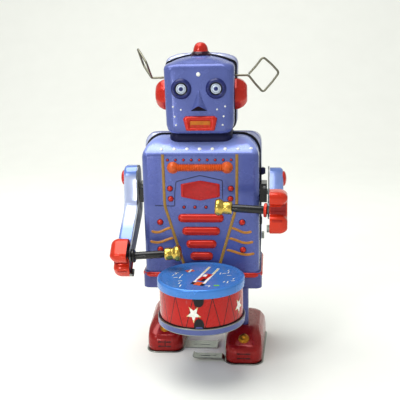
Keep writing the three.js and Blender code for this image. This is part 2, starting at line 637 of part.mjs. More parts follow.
// A strip from the inner edge of the sole, with its end turned up, that keeps the robot
// upright on one foot. The left strip is joggled up, and passes over the right one's lip.
function outrigger(side, soleEdge) {
  const front = FOOT.toe + (side < 0 ? 8.5 : 4.5);
  const back = front + (side < 0 ? 12 : 8);
  const thick = 0.7;
  const lip = 1.3;
  if (side < 0) {
    return join(
      block(-soleEdge - 2, 9, front, back, 0, thick),
      block(9 - thick, 9, front, back, 0, thick + lip));
  }
  const low = thick + lip + GAP;
  const high = low + thick;
  return join(
    block(soleEdge - 1.5, soleEdge + 2, front, back, 0, SOLE.thick),
    block(soleEdge - 1.5, soleEdge - 0.4, front, back, 0, high),
    block(-7, soleEdge - 0.4, front, back, low, high),
    block(-7, -7 + thick, front, back, low, high + lip));
}

// ---------------------------------------------------------------- spring motor

function gear(place, teeth, phase, from, to) {
  return extrude(gearOutline(place, teeth, phase), 'x', from, to);
}

function buildFrame() {
  for (const [side, name] of [[1, 'left'], [-1, 'right']]) {
    const outline = rectangle(MOTOR.front, MOTOR.back, MOTOR.bottom, MOTOR.top);
    const plate = extrude(outline, 'x', side * (MOTOR.half - 0.5), side * (MOTOR.half + 0.5));
    const holes = [WINDING, CRANK, SECOND, GOVERNOR].map((arbor) =>
      rod('x', side * 10, side * 20, arbor.y, arbor.z, arbor.radius + 0.4));
    add(`${name}_motor_plate`, cut(plate, ...holes), steel);
    const rail = rod('y', -GUIDE.half, GUIDE.half, side * GUIDE.x, GUIDE.z, GUIDE.radius, 8);
    add(`${name}_guide_rod`, rail, steel);
  }
  const reach = MOTOR.half - 0.5 - GAP;
  const pillars = [['lower', -17, 55], ['front', -17, 92], ['rear', 17, 92]];
  for (const [name, y, z] of pillars) {
    add(`${name}_motor_pillar`, rod('x', -reach, reach, y, z, 1.6, 8), brass);
  }
}

function buildWinding() {
  const { y, z, radius, squareFrom, end, square } = WINDING;
  const half = square / 2;
  const shaft = rod('x', -MOTOR.half, squareFrom, y, z, radius);
  const post = extrude(rectangle(y - half, y + half, z - half, z + half), 'x', squareFrom - 1, end);
  add('winding_arbor', join(shaft, post), steel);

  const teeth = 10;
  const points = [];
  for (let tooth = 0; tooth < teeth; tooth += 1) {
    const angle = (tooth * 2 * Math.PI) / teeth;
    points.push([y + 5 * Math.cos(angle), z + 5 * Math.sin(angle)]);
    points.push([y + 3.8 * Math.cos(angle + 0.08), z + 3.8 * Math.sin(angle + 0.08)]);
  }
  const ratchet = extrude(polygon(points), 'x', -3.6, -2.4);
  add('ratchet_wheel', cut(ratchet, rod('x', -10, 10, y, z, radius + GAP)), steel);

  const wheel = gear(WINDING, TEETH.great, 0, -1.5, 0.5);
  const bores = [rod('x', -10, 10, y, z, radius + GAP)];
  for (let spoke = 0; spoke < 4; spoke += 1) {
    const angle = (spoke + 0.5) * (Math.PI / 2);
    bores.push(rod('x', -10, 10, y + 7 * Math.cos(angle), z + 7 * Math.sin(angle), 2.4, 6));
  }
  add('great_wheel', cut(wheel, ...bores), brass);
  const click = link({ u: y - 2.5, v: z + 8.6, r: 1.4 }, { u: y + 1.6, v: z + 5.9, r: 0.5 });
  add('click', extrude(click, 'x', -3.6, -1.5 - GAP), steel);

  add('mainspring', spiral(y, z, 3.4, 11.8, 4), springSteel);
}

// A flat spring wound from an inner to an outer radius.
function spiral(y, z, inner, outer, turns) {
  const steps = turns * 12;
  const thickness = 0.7;
  const edge = (offset) => Array.from({ length: steps + 1 }, (_, i) => {
    const angle = (i / steps) * turns * 2 * Math.PI;
    const radius = inner + offset + ((outer - inner - thickness) * i) / steps;
    return [y + radius * Math.cos(angle), z + radius * Math.sin(angle)];
  });
  const outline = [...edge(thickness), ...edge(0).reverse()];
  return extrude(polygon(outline), 'x', -12, -5);
}

function buildTrain() {
  const { crankPinion, crankWheel, secondPinion, secondWheel, governor, great } = TEETH;
  const crankPhase = meshedPhase(WINDING, great, 0, CRANK, crankPinion);
  const secondPhase = meshedPhase(CRANK, crankWheel, crankPhase, SECOND, secondPinion);
  const governorPhase = meshedPhase(SECOND, secondWheel, secondPhase, GOVERNOR, governor);

  const crankParts = [rod('x', -CRANK.discInner - 1, CRANK.discInner + 1, CRANK.y, CRANK.z, CRANK.radius)];
  for (const side of [-1, 1]) {
    const pinY = CRANK.y - side * CRANK.throw;
    crankParts.push(rod('x', side * CRANK.discInner, side * CRANK.discOuter, CRANK.y, CRANK.z, CRANK.disc));
    crankParts.push(rod('x', side * CRANK.discInner, side * (YOKE.inner - 0.4), pinY, CRANK.z, 1.5));
  }
  add('crankshaft', join(...crankParts), steel);

  const pinion = gear(CRANK, crankPinion, crankPhase, -1.8, 0.8);
  const hub = rod('x', 0.5, 3.2, CRANK.y, CRANK.z, 3.6);
  const wheel = gear(CRANK, crankWheel, crankPhase, 3, 4.5);
  const bore = rod('x', -10, 10, CRANK.y, CRANK.z, CRANK.radius + GAP);
  add('crank_wheel_and_pinion', cut(join(pinion, hub, wheel), bore), brass);

  const pivots = MOTOR.half + 0.3;
  add('second_wheel_and_arbor', join(
    rod('x', -pivots, pivots, SECOND.y, SECOND.z, SECOND.radius, 8),
    gear(SECOND, secondPinion, secondPhase, 2.7, 4.8),
    gear(SECOND, secondWheel, secondPhase, 7, 8.2)), brass);

  const weights = [-1, 1].map((side) => rod('x', 9.8, 12.2, GOVERNOR.y + side * 3.4, GOVERNOR.z, 2.2, 8));
  add('governor', join(
    rod('x', -pivots, pivots, GOVERNOR.y, GOVERNOR.z, GOVERNOR.radius, 8),
    gear(GOVERNOR, governor, governorPhase, 6.7, 8.5),
    rod('x', 10.2, 11, GOVERNOR.y, GOVERNOR.z, 5.6, 12), ...weights), brass);
}

// ---------------------------------------------------------------- the whole robot

buildBody();
buildPan();
buildCollar();
buildHead();
buildAntennas();
buildDrum();
buildFrame();
buildWinding();
buildTrain();
buildLeg(1, 'left', -STROKE / 2);
buildLeg(-1, 'right', STROKE / 2);
buildArm(1, 'left', SWING);
buildArm(-1, 'right', 0);

export default group;
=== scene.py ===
import json
import math
from types import SimpleNamespace

import bmesh
import bpy
from mathutils import Matrix, Vector


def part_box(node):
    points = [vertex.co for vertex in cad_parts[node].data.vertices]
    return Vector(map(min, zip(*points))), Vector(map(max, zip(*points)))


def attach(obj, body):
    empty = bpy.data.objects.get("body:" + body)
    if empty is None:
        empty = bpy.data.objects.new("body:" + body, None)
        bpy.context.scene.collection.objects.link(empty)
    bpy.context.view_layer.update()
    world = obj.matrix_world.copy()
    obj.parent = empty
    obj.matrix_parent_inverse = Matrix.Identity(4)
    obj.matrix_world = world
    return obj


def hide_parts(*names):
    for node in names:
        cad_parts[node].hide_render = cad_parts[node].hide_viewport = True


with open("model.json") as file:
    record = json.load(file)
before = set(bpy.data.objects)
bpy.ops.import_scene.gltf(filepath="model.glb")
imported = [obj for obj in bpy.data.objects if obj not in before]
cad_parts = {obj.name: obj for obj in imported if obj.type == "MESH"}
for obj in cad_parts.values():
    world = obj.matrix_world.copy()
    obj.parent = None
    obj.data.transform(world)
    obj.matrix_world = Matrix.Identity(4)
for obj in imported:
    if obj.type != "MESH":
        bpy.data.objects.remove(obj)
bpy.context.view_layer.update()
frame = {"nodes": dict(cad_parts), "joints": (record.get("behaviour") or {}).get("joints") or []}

MM = 0.001
SIDES = ((1, "left"), (-1, "right"))


# ------------------------------------------------------------------ places from the frame

def box(node):
    """A node's rest box in millimetres, as low, high, middle and size."""
    low, high = (Vector(corner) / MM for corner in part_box(node))
    return SimpleNamespace(low=low, high=high, mid=(low + high) / 2, size=high - low)


def joint_place(name):
    joint = next(j for j in frame["joints"] if j["name"] == name)
    return Vector(joint["pos_m"]) / MM


def body_places():
    back = box("body_back_shell")
    seam = (back.low.y + box("body_front_shell").high.y) / 2
    depth = back.high.y - seam
    return SimpleNamespace(seam=seam, depth=depth, half=back.size.x / 2, low=back.low.z,
                           top=back.high.z, face=seam - depth)


def head_places():
    back = box("head_back_shell")
    depth = back.high.y - BODY.seam
    return SimpleNamespace(seam=BODY.seam, depth=depth, half=back.size.x / 2, low=back.low.z,
                           top=back.high.z, face=BODY.seam - depth)


BODY = body_places()
HEAD = head_places()
TIN = 0.5
SEAM_GAP = 0.45


# ------------------------------------------------------------------ shapes

class Shape:
    """Points and faces of one piece, each face with the number of its material."""

    def __init__(self):
        self.points = []
        self.faces = []
        self.paint = []

    def grid(self, rows, paint=0, wrap=False):
        start = len(self.points)
        width = len(rows[0])
        for row in rows:
            self.points += [tuple(point) for point in row]
        for r in range(len(rows) - 1):
            for c in range(width if wrap else width - 1):
                d = (c + 1) % width
                low = start + r * width
                high = low + width
                self.face((low + c, low + d, high + d, high + c),
                          paint if isinstance(paint, int) else paint[r])
        return start

    def face(self, corners, paint=0):
        self.faces.append(tuple(corners))
        self.paint.append(paint)

    def loft(self, loops, paint=0, caps=(True, True)):
        """Closed loops of equal length joined one to the next."""
        count = len(loops[0])
        start = self.grid(loops, paint, wrap=True)
        first, last = (paint, paint) if isinstance(paint, int) else (paint[0], paint[-1])
        if caps[0]:
            self.face(range(start, start + count), first)
        if caps[1]:
            end = start + (len(loops) - 1) * count
            self.face(range(end, end + count), last)

    def turn(self, profile, centre, axis, paint=0, segments=48):
        """A (radius, height) profile turned round an axis; its ends may lie on the axis."""
        spin = Vector((0, 0, 1)).rotation_difference(Vector(axis)).to_matrix()
        rows = []
        for radius, height in profile:
            row = []
            for i in range(segments):
                angle = 2 * math.pi * i / segments
                local = Vector((radius * math.cos(angle), radius * math.sin(angle), height))
                row.append(Vector(centre) + spin @ local)
            rows.append(row)
        self.grid(rows, paint, wrap=True)

    def dome(self, centre, normal, radius, proud, paint=0, segments=20, sink=0.2):
        """A round-headed rivet."""
        profile = [(radius, -sink)]
        for i in range(7):
            angle = math.pi / 2 * i / 6
            profile.append((radius * math.cos(angle), proud * math.sin(angle)))
        self.turn(profile, centre, normal, paint, segments)

    def rib(self, path, half_width, proud, normal, paint=0, taper=0.0):
        """A raised line of half-round section along a path on a surface."""
        count = len(path)
        rows = []
        for i, point in enumerate(path):
            ahead = Vector(path[min(i + 1, count - 1)]) - Vector(path[max(i - 1, 0)])
            across = ahead.normalized().cross(Vector(normal))
            near_end = min(i, count - 1 - i) / (count - 1)
            share = 1 if taper == 0 else min(1, 0.25 + near_end / taper)
            row = []
            for k in range(7):
                angle = math.pi * k / 6
                row.append(Vector(point) + across * half_width * share * math.cos(angle)
                           + Vector(normal) * proud * share * math.sin(angle))
            rows.append(row)
        start = self.grid(rows, paint)
        self.face(range(start, start + 7), paint)
        end = start + (count - 1) * 7
        self.face(range(end, end + 7), paint)

    def tube(self, path, radius, paint=0, segments=10):
        """A round wire along a path of points."""
        side = None
        rows = []
        for i, point in enumerate(path):
            ahead = (Vector(path[min(i + 1, len(path) - 1)]) - Vector(path[max(i - 1, 0)])).normalized()
            if side is None:
                side = ahead.orthogonal().normalized()
            side = (side - ahead * side.dot(ahead)).normalized()
            other = ahead.cross(side)
            angles = [2 * math.pi * k / segments for k in range(segments)]
            rows.append([Vector(point) + (side * math.cos(a) + other * math.sin(a)) * radius
                         for a in angles])
        self.loft(rows, paint)

    def moved(self, matrix):
        self.points = [tuple(matrix @ Vector(point)) for point in self.points]
        return self


def rounded(points, radii, steps=6, closed=False):
    """A line of 2-D or 3-D points with its corners rounded; radii is one value or one a point."""
    points = [Vector(point) for point in points]
    count = len(points)
    radii = [radii] * count if isinstance(radii, (int, float)) else radii
    result = []
    for i, point in enumerate(points):
        if not closed and i in (0, count - 1):
            result.append(point)
            continue
        before = points[i - 1] - point
        after = points[(i + 1) % count] - point
        reach = min(radii[i], 0.49 * before.length, 0.49 * after.length)
        if reach <= 1e-6:
            result.append(point)
            continue
        start = point + before.normalized() * reach
        end = point + after.normalized() * reach
        for k in range(steps + 1):
            t = k / steps
            result.append(start * (1 - t) ** 2 + point * 2 * t * (1 - t) + end * t ** 2)
    return result


def spread(start, end, count):
    return [start + (end - start) * i / (count - 1) for i in range(count)]


def rounded_plan(x0, x1, y0, y1, radius, steps=8):
    """Closed outline of a rounded rectangle as (x, y) pairs, the same count at any size."""
    radius = min(radius, 0.499 * abs(x1 - x0), 0.499 * abs(y1 - y0))
    outline = []
    corners = ((x1 - radius, y1 - radius, 0), (x0 + radius, y1 - radius, 1),
               (x0 + radius, y0 + radius, 2), (x1 - radius, y0 + radius, 3))
    for cx, cy, quarter in corners:
        for k in range(steps + 1):
            angle = math.pi / 2 * (quarter + k / steps)
            outline.append((cx + radius * math.cos(angle), cy + radius * math.sin(angle)))
    return outline


def piece(name, shape, body, looks, stands_for=(), smooth=38, wall=0.0, bevel=0.0, levels=0):
    """Makes one Blender object of a Shape, lets it ride on a body and hides what it stands for."""
    mesh = bpy.data.meshes.new(name)
    mesh.from_pydata([[value * MM for value in point] for point in shape.points], [], shape.faces)
    for look in looks:
        mesh.materials.append(look)
    mesh.polygons.foreach_set("material_index", shape.paint)
    work = bmesh.new()
    work.from_mesh(mesh)
    bmesh.ops.remove_doubles(work, verts=work.verts, dist=0.004 * MM)
    bmesh.ops.recalc_face_normals(work, faces=work.faces)
    work.to_mesh(mesh)
    work.free()
    mesh.shade_smooth()
    mesh.set_sharp_from_angle(angle=math.radians(smooth))
    obj = bpy.data.objects.new(name, mesh)
    bpy.context.scene.collection.objects.link(obj)
    if wall:
        sheet = obj.modifiers.new("wall", "SOLIDIFY")
        sheet.thickness = wall * MM
        sheet.offset = -1
    if bevel:
        edge = obj.modifiers.new("edge", "BEVEL")
        edge.width = bevel * MM
        edge.segments = 3
        edge.limit_method = "ANGLE"
        edge.angle_limit = math.radians(30)
        edge.harden_normals = False
    if levels:
        surface = obj.modifiers.new("surface", "SUBSURF")
        surface.levels = levels
        surface.render_levels = levels
    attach(obj, body)
    if stands_for:
        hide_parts(*stands_for)
    return obj


# ------------------------------------------------------------------ materials

def srgb(red, green, blue):
    """An 8-bit sRGB colour as linear RGBA."""
    def linear(value):
        share = value / 255
        return share / 12.92 if share <= 0.04045 else ((share + 0.055) / 1.055) ** 2.4
    return (linear(red), linear(green), linear(blue), 1.0)


class Nodes:
    """A short way to write a node tree."""

    def __init__(self, name):
        self.material = bpy.data.materials.new(name)
        self.material.use_nodes = True
        self.tree = self.material.node_tree
        self.shader = self.tree.nodes["Principled BSDF"]
        self.place = self.tree.nodes.new("ShaderNodeTexCoord").outputs["Object"]

    def node(self, kind, inputs=None, **settings):
        made = self.tree.nodes.new(kind)
        for key, value in settings.items():
            setattr(made, key, value)
        for key, value in (inputs or {}).items():
            self.feed(made.inputs[key], value)
        return made

    def feed(self, socket, value):
        if isinstance(value, bpy.types.NodeSocket):
            self.tree.links.new(value, socket)
        else:
            socket.default_value = value

    def noise(self, scale, detail=3.0, stretch=(1, 1, 1)):
        mapped = self.node("ShaderNodeMapping", {"Vector": self.place, "Scale": stretch}).outputs[0]
        return self.node("ShaderNodeTexNoise",
                         {"Vector": mapped, "Scale": scale, "Detail": detail}).outputs["Fac"]

    def ramp(self, value, low, high, start=0.0, end=1.0):
        inputs = {"Value": value, "From Min": low, "From Max": high, "To Min": start, "To Max": end}
        return self.node("ShaderNodeMapRange", inputs).outputs[0]

    def mix(self, share, first, second):
        made = self.node("ShaderNodeMix", data_type="RGBA")
        for index, value in ((0, share), (6, first), (7, second)):
            self.feed(made.inputs[index], value)
        return made.outputs[2]

    def maths(self, operation, first, second=0.0):
        made = self.node("ShaderNodeMath", operation=operation)
        self.feed(made.inputs[0], first)
        self.feed(made.inputs[1], second)
        return made.outputs[0]

    def bump(self, height, depth_mm, strength=1.0):
        inputs = {"Height": height, "Distance": depth_mm * MM, "Strength": strength}
        self.feed(self.shader.inputs["Normal"], self.node("ShaderNodeBump", inputs).outputs[0])

    def finish(self, colour, roughness, metal, coat=0.0):
        self.feed(self.shader.inputs["Base Color"], colour)
        self.feed(self.shader.inputs["Roughness"], roughness)
        self.feed(self.shader.inputs["Metallic"], metal)
        self.feed(self.shader.inputs["Coat Weight"], coat)
        self.shader.inputs["Specular IOR Level"].default_value = 0.25
        self.shader.inputs["Coat Roughness"].default_value = 0.07
        return self.material


def shade(colour, share):
    return tuple(channel * share for channel in colour[:3]) + (1.0,)


def worn(nodes, ink, amount=0.35):
    """Sparse fine scuffs where the ink has been rubbed thin."""
    scuffs = nodes.ramp(nodes.noise(340, 6.0, (1, 1, 0.3)), 0.69, 0.76)
    return nodes.mix(nodes.maths("MULTIPLY", scuffs, amount), ink, srgb(190, 192, 196))


def tin(name, colour, pattern=None, roughness=0.24, coat=0.22, scuffs=0.12):
    """Glossy lithographed tinplate: slightly uneven ink, soft dents and a few scuffs."""
    nodes = Nodes(name)
    uneven = nodes.ramp(nodes.noise(70), 0.3, 0.7)
    ink = nodes.mix(uneven, shade(colour, 0.93), shade(colour, 1.06))
    if pattern:
        ink = pattern(nodes, ink)
    speckle = nodes.ramp(nodes.noise(1300, 2.0), 0.68, 0.78)
    ink = nodes.mix(nodes.maths("MULTIPLY", speckle, 0.16), ink, shade(colour, 0.6))
    smudge = nodes.ramp(nodes.noise(110, 5.0), 0.35, 0.7, roughness - 0.05, roughness + 0.09)
    fine = nodes.maths("MULTIPLY", nodes.noise(900), 0.012)
    nodes.bump(nodes.maths("ADD", nodes.noise(26, 1.0), fine), 0.35, 0.4)
    return nodes.finish(worn(nodes, ink, scuffs), smudge, 0.25, coat)


def plain_print(name, colour, roughness=0.3):
    """A small printed or embossed detail in one ink."""
    nodes = Nodes(name)
    uneven = nodes.ramp(nodes.noise(500), 0.3, 0.7)
    ink = nodes.mix(uneven, shade(colour, 0.82), shade(colour, 1.1))
    nodes.bump(nodes.noise(700), 0.03, 0.5)
    return nodes.finish(ink, roughness, 0.1, 0.2)


def metal(name, colour, roughness, grain=(1, 1, 1), depth=0.012, tarnish=0.35):
    """Bare metal with fine drawn or turned marks and a little tarnish."""
    nodes = Nodes(name)
    patches = nodes.ramp(nodes.noise(150, 5.0), 0.48, 0.76)
    tone = nodes.mix(nodes.maths("MULTIPLY", patches, tarnish), colour, shade(colour, 0.5))
    marks = nodes.noise(900, 2.0, grain)
    nodes.bump(marks, depth, 0.5)
    rough = nodes.ramp(marks, 0.3, 0.7, roughness - 0.06, roughness + 0.1)
    return nodes.finish(tone, rough, 1.0)


def chest_print_and_painted_highlight(nodes, ink):
    """Chest colour: darker airbrushed side panels, a deeper blue towards the bottom, and a painted
    highlight lightening the yoke above the crease.
    """
    split = nodes.node("ShaderNodeSeparateXYZ", {"Vector": nodes.place}).outputs
    across = nodes.maths("ABSOLUTE", split["X"])
    up = split["Z"]
    low = BODY.low * MM
    inner = nodes.ramp(across, 24.5 * MM, 28 * MM)
    outer = nodes.ramp(across, 36.5 * MM, 33.5 * MM)
    above = nodes.ramp(up, low + 54 * MM, low + 56 * MM)
    below = nodes.ramp(up, low + 89 * MM, low + 86 * MM)
    panel = nodes.maths("MULTIPLY", nodes.maths("MULTIPLY", inner, outer),
                        nodes.maths("MULTIPLY", above, below))
    ink = nodes.mix(nodes.maths("MULTIPLY", panel, 0.45), ink, srgb(62, 74, 150))
    deep = nodes.maths("MULTIPLY", nodes.ramp(up, low + 60 * MM, low + 12 * MM),
                       nodes.ramp(across, 37 * MM, 30 * MM))
    ink = nodes.mix(nodes.maths("MULTIPLY", deep, 0.6), ink, srgb(54, 66, 140))
    # Painted highlight: the yoke above the crease is lightened as if lit from above.
    yoke = nodes.ramp(up, low + 88.5 * MM, low + 92 * MM)
    return nodes.mix(nodes.maths("MULTIPLY", yoke, 0.75), ink, srgb(156, 174, 244))


def back_seam_painted_sheen(nodes, ink):
    """Painted highlight: a pale band on the back shells by the seam, standing for glare on their roofs."""
    depth = nodes.node("ShaderNodeSeparateXYZ", {"Vector": nodes.place}).outputs["Y"]
    edge = nodes.ramp(depth, (BODY.seam + 3.6) * MM, (BODY.seam + 1.6) * MM)
    return nodes.mix(nodes.maths("MULTIPLY", edge, 0.8), ink, srgb(206, 212, 236))


def upper_arm_painted_reflection(nodes, ink):
    """Painted patch that imitates a reflection in the photograph, weaker on the left arm."""
    split = nodes.node("ShaderNodeSeparateXYZ", {"Vector": nodes.place}).outputs
    up = split["Z"]
    low = BODY.low * MM
    patch = nodes.maths("MULTIPLY", nodes.ramp(up, low + 40 * MM, low + 44 * MM),
                        nodes.ramp(up, low + 73 * MM, low + 70 * MM))
    strength = nodes.ramp(split["X"], -BODY.half * MM, BODY.half * MM, 0.6, 0.12)
    return nodes.mix(nodes.maths("MULTIPLY", patch, strength), ink, srgb(222, 228, 244))


def drum_cords_and_painted_shadow(nodes, ink):
    """Dark tension cords drawn as a row of narrow inverted Vs round the drum's band, and a painted shadow
    along its foot.
    """
    band, lid, base = box("drum_band"), box("drum_top"), box("drum_bottom")
    split = nodes.node("ShaderNodeSeparateXYZ", {"Vector": nodes.place}).outputs
    dx = nodes.maths("SUBTRACT", split["X"], band.mid.x * MM)
    dy = nodes.maths("SUBTRACT", band.mid.y * MM, split["Y"])
    turn = nodes.maths("DIVIDE", nodes.maths("ARCTAN2", dx, dy), 2 * math.pi)
    cords, first = 14, 19.21
    spread_out = nodes.maths("PINGPONG",
                             nodes.maths("ADD", nodes.maths("MULTIPLY", turn, cords), first), 0.5)
    foot = nodes.ramp(split["Z"], base.high.z * MM, lid.low.z * MM, 0.82, 0.0)
    gap = nodes.maths("ABSOLUTE", nodes.maths("SUBTRACT", nodes.maths("MULTIPLY", spread_out, 2.0), foot))
    line = nodes.ramp(gap, 0.05, 0.028)
    ink = nodes.mix(line, ink, srgb(44, 4, 8))
    # Painted shadow: a dark band along the foot of the band, where the gap above the base rim is in shade.
    edge = nodes.ramp(split["Z"], (base.high.z + 0.9) * MM, (base.high.z + 0.4) * MM)
    return nodes.mix(edge, ink, srgb(40, 10, 20))


VIOLET = srgb(88, 100, 164)
RED = srgb(196, 40, 24)

looks = {
    "chest": tin("chest_tin", VIOLET, chest_print_and_painted_highlight),
    "violet": tin("violet_tin", VIOLET),
    # The back shells' finish carries a painted highlight by the seam.
    "back": tin("back_tin", VIOLET, back_seam_painted_sheen),
    # The arm finish carries a painted reflection on the upper arms.
    "arm": tin("arm_tin", srgb(106, 136, 210), upper_arm_painted_reflection, roughness=0.2, coat=0.9),
    "skirt": tin("skirt_tin", srgb(74, 80, 140)),
    "navy": tin("navy_tin", srgb(22, 24, 62), roughness=0.5, coat=0.0, scuffs=0.0),
    "maroon_shade": tin("maroon_shade_tin", srgb(46, 14, 34), scuffs=0.0),
    "red": tin("red_tin", RED),
    "hand": tin("hand_tin", srgb(206, 50, 24)),
    "foot": tin("foot_tin", srgb(146, 16, 14)),
    "band": tin("drum_band_tin", srgb(180, 18, 12), drum_cords_and_painted_shadow),
    "lid": tin("drum_lid_tin", srgb(66, 128, 206)),
    "rim": tin("drum_rim_tin", srgb(84, 94, 150)),
    "orange": plain_print("orange_print", srgb(214, 92, 34)),
    "gold": plain_print("gold_print", srgb(160, 122, 50)),
    "wave": plain_print("wave_print", srgb(190, 126, 44)),
    "outline": plain_print("outline_print", srgb(22, 28, 66)),
    "hexagon": plain_print("hexagon_print", srgb(176, 16, 16), 0.4),
    "hexagon_edge": plain_print("hexagon_edge_print", srgb(190, 30, 26), 0.4),
    "white": plain_print("white_print", srgb(240, 242, 234)),
    "cream": plain_print("cream_print", srgb(228, 216, 150)),
    "yellow": plain_print("yellow_print", srgb(196, 112, 12)),
    "iris": plain_print("iris_print", srgb(196, 208, 226)),
    "eye_navy": plain_print("eye_navy_print", srgb(30, 38, 100)),
    # Black serves for print and for painted shade in gaps, holes and undersides.
    "black_ink_and_shade": plain_print("black_print_and_shade", srgb(8, 9, 15), 0.55),
    "green": plain_print("green_print", srgb(120, 200, 60)),
    "mouth_glow": plain_print("mouth_glow_print", srgb(190, 44, 10)),
    "brass": metal("brass", srgb(206, 176, 84), 0.26, (6, 0.3, 0.3), 0.002, tarnish=0.15),
    "dull_brass": metal("dull_brass", srgb(176, 118, 36), 0.34, depth=0.002, tarnish=0.15),
    "steel": metal("bright_steel", srgb(146, 150, 144), 0.3, (1, 8, 1)),
    "wire": metal("antenna_wire", srgb(126, 124, 108), 0.3),
    "dark_steel": metal("dark_steel", srgb(104, 108, 112), 0.36, (1, 1, 5)),
    "spring": metal("blued_spring", srgb(70, 82, 112), 0.3, (8, 1, 1)),
    "black": tin("black_enamel", srgb(24, 25, 25), roughness=0.26, coat=0.4, scuffs=0.05),
    "foot_mark": plain_print("foot_mark_print", srgb(60, 6, 10)),
}


# ------------------------------------------------------------------ pressed half shells

def half_section(half, depth, corner, facing, seam):
    """Half of a rounded rectangle, from the seam round the front (facing -1) or the back (1)."""
    corner = min(corner, 0.95 * half, 0.95 * depth)
    outline = [(-half, d) for d in spread(0, depth - corner, 9)]
    for k in range(1, 11):
        angle = math.pi / 2 * k / 10
        outline.append((-half + corner - corner * math.cos(angle),
                        depth - corner + corner * math.sin(angle)))
    outline += [(x, depth) for x in spread(-half + corner, half - corner, 13)[1:-1]]
    for k in range(10):
        angle = math.pi / 2 * k / 10
        outline.append((half - corner + corner * math.sin(angle),
                        depth - corner + corner * math.cos(angle)))
    outline += [(half, d) for d in spread(depth - corner, 0, 9)]
    return [(x, seam + facing * (SEAM_GAP + y * (depth - SEAM_GAP) / depth)) for x, y in outline]


def half_shell(levels, facing, seam, roll=0.0, middle=0.0):
    """One half shell from (height, half width, depth, corner) levels, its seam edge rolled inwards."""
    shape = Shape()
    rows = []
    for z, half, depth, corner in levels:
        row = []
        for x, y in half_section(half, max(depth, SEAM_GAP + 0.2), corner, facing, seam):
            away = abs(y - seam) - SEAM_GAP
            dip = roll * max(0.0, 1 - away / 3.2) ** 2
            lift = max(0.0, z - middle) / (levels[-1][0] - middle)
            row.append((x * (1 - dip / max(half, 10)), y, z - dip * lift ** 2))
        rows.append(row)
    shape.grid(rows)
    return shape


def reach_at(outline, z):
    """How far a rising (reach, z) outline stands out at a height."""
    for (r0, z0), (r1, z1) in zip(outline, outline[1:]):
        if z0 <= z <= z1 and z1 > z0:
            return r0 + (r1 - r0) * (z - z0) / (z1 - z0)
    return outline[-1][0] if z > outline[-1][1] else outline[0][0]


def curve(start, pull, end, steps=10):
    """Points of a quadratic curve after its start."""
    start, pull, end = Vector(start), Vector(pull), Vector(end)
    shares = [k / steps for k in range(1, steps + 1)]
    return [start * (1 - t) ** 2 + pull * 2 * t * (1 - t) + end * t ** 2 for t in shares]


BEND = 89.2
SHOULDERS = {-1: (13, 0.64), 1: (9, 0.9)}
BROW = 39.7
BROWS = {-1: (3, 3.8, 10), 1: (5, 6.2, 15)}


def body_levels(facing, grow):
    """Body profile: upright panel, a crease, then the roof rising to the seam."""
    radius, fullness = SHOULDERS[facing]
    top, half, depth = BODY.top + grow, BODY.half + grow, BODY.depth
    bend = BODY.low + BEND
    roof = curve((depth, bend), (fullness * depth, top), (0, top), 12)
    side = rounded([(depth, BODY.low), (depth, bend)] + roof[2:], [0, 1.8] + [0] * (len(roof) - 2), 6)
    levels = []
    for z in spread(BODY.low, bend - 2, 16):
        flush = min(1, (z - BODY.low) / 30)
        levels.append((z, BODY.half + grow * flush, depth, 4))
    for reach, z in side[1:]:
        climb = max(0, z - (top - radius))
        across = half - radius + math.sqrt(max(0, radius ** 2 - climb ** 2))
        levels.append((z, across, reach, 4))
    return levels


def head_levels(facing, grow):
    """Head profile: rounded bottom edge, slight taper, arched roof."""
    across, rise, crown = BROWS[facing]
    low, top, brow = HEAD.low, HEAD.top + grow, HEAD.low + BROW + grow
    half, depth = HEAD.half + grow, HEAD.depth
    levels = [(low - 1.4, half - 5.6, depth - 3.4, 3.5), (low - 1.0, half - 4, depth - 1.8, 4.5),
              (low - 0.2, half - 2.6, depth - 0.8, 5.5), (low + 1.2, half - 1.6, depth - 0.25, 5.7),
              (low + 2.8, half - 1.1, depth - 0.05, 5.7)]
    for z in spread(low + 4.4, brow - 1.5, 12):
        levels.append((z, half - 0.8 * (brow - z) / BROW, depth, 5.7))

    def roofline(reach):
        corner = (reach - across, brow + rise)
        line = [Vector((reach, brow))] + curve((reach, brow), (reach, brow + 0.8 * rise), corner, 8)
        return line + curve(corner, (crown, top), (0, top), 12)

    wide, deep = roofline(half), roofline(depth)
    for z in [point.y for point in deep]:
        levels.append((z, max(reach_at(wide, z), 0.4), reach_at(deep, z), 5.7 + 0.5 * max(0, z - brow)))
    return levels


def seam_shadow_strip(shape, inner, outer):
    """Dark strip that fills the seam between two (half width, height) silhouettes, a painted shadow of the
    gap between the shells.
    """
    rows = []
    for line, y in ((inner, -0.3), (outer, -0.3), (outer, 0.5)):
        loop = [(-half, BODY.seam + y, z) for half, z in line]
        rows.append(loop + [(half, BODY.seam + y, z) for half, z in reversed(line)])
    shape.grid(rows)


def build_shells():
    """Front and back shells, without the holes that the CAD ones have for shafts and arbor."""
    strip = Shape()
    for levels in (body_levels, head_levels):
        inner, outer = [[(half, z) for z, half, _, _ in levels(-1, grow)] for grow in (-0.8, 0.95)]
        seam_shadow_strip(strip, inner, outer)
    # Painted shadow: a black strip stands in the seam gap between front and back shells.
    piece("seam_shadow_strip", strip, "torso", [looks["black_ink_and_shade"]])
    for facing, name, grow, roll in ((-1, "front", 0.0, 0.3), (1, "back", 1.3, 1.9)):
        front = facing < 0
        body = half_shell(body_levels(facing, grow), facing, BODY.seam, roll, BODY.low + BEND - 10)
        piece(f"body_{name}", body, "torso", [looks["chest"] if front else looks["back"]],
              [f"body_{name}_shell"], wall=TIN)
        head = half_shell(head_levels(facing, grow), facing, HEAD.seam, roll, HEAD.low + BROW - 8)
        piece(f"head_{name}", head, "torso", [looks["violet"] if front else looks["back"]],
              [f"head_{name}_shell"], wall=TIN)


# ------------------------------------------------------------------ chest pattern

def chest(x, up, proud=0.0):
    """A point of the front panel, `up` above the body's lower edge."""
    return Vector((x, BODY.face - proud, BODY.low + up))


FORWARD = Vector((0, -1, 0))


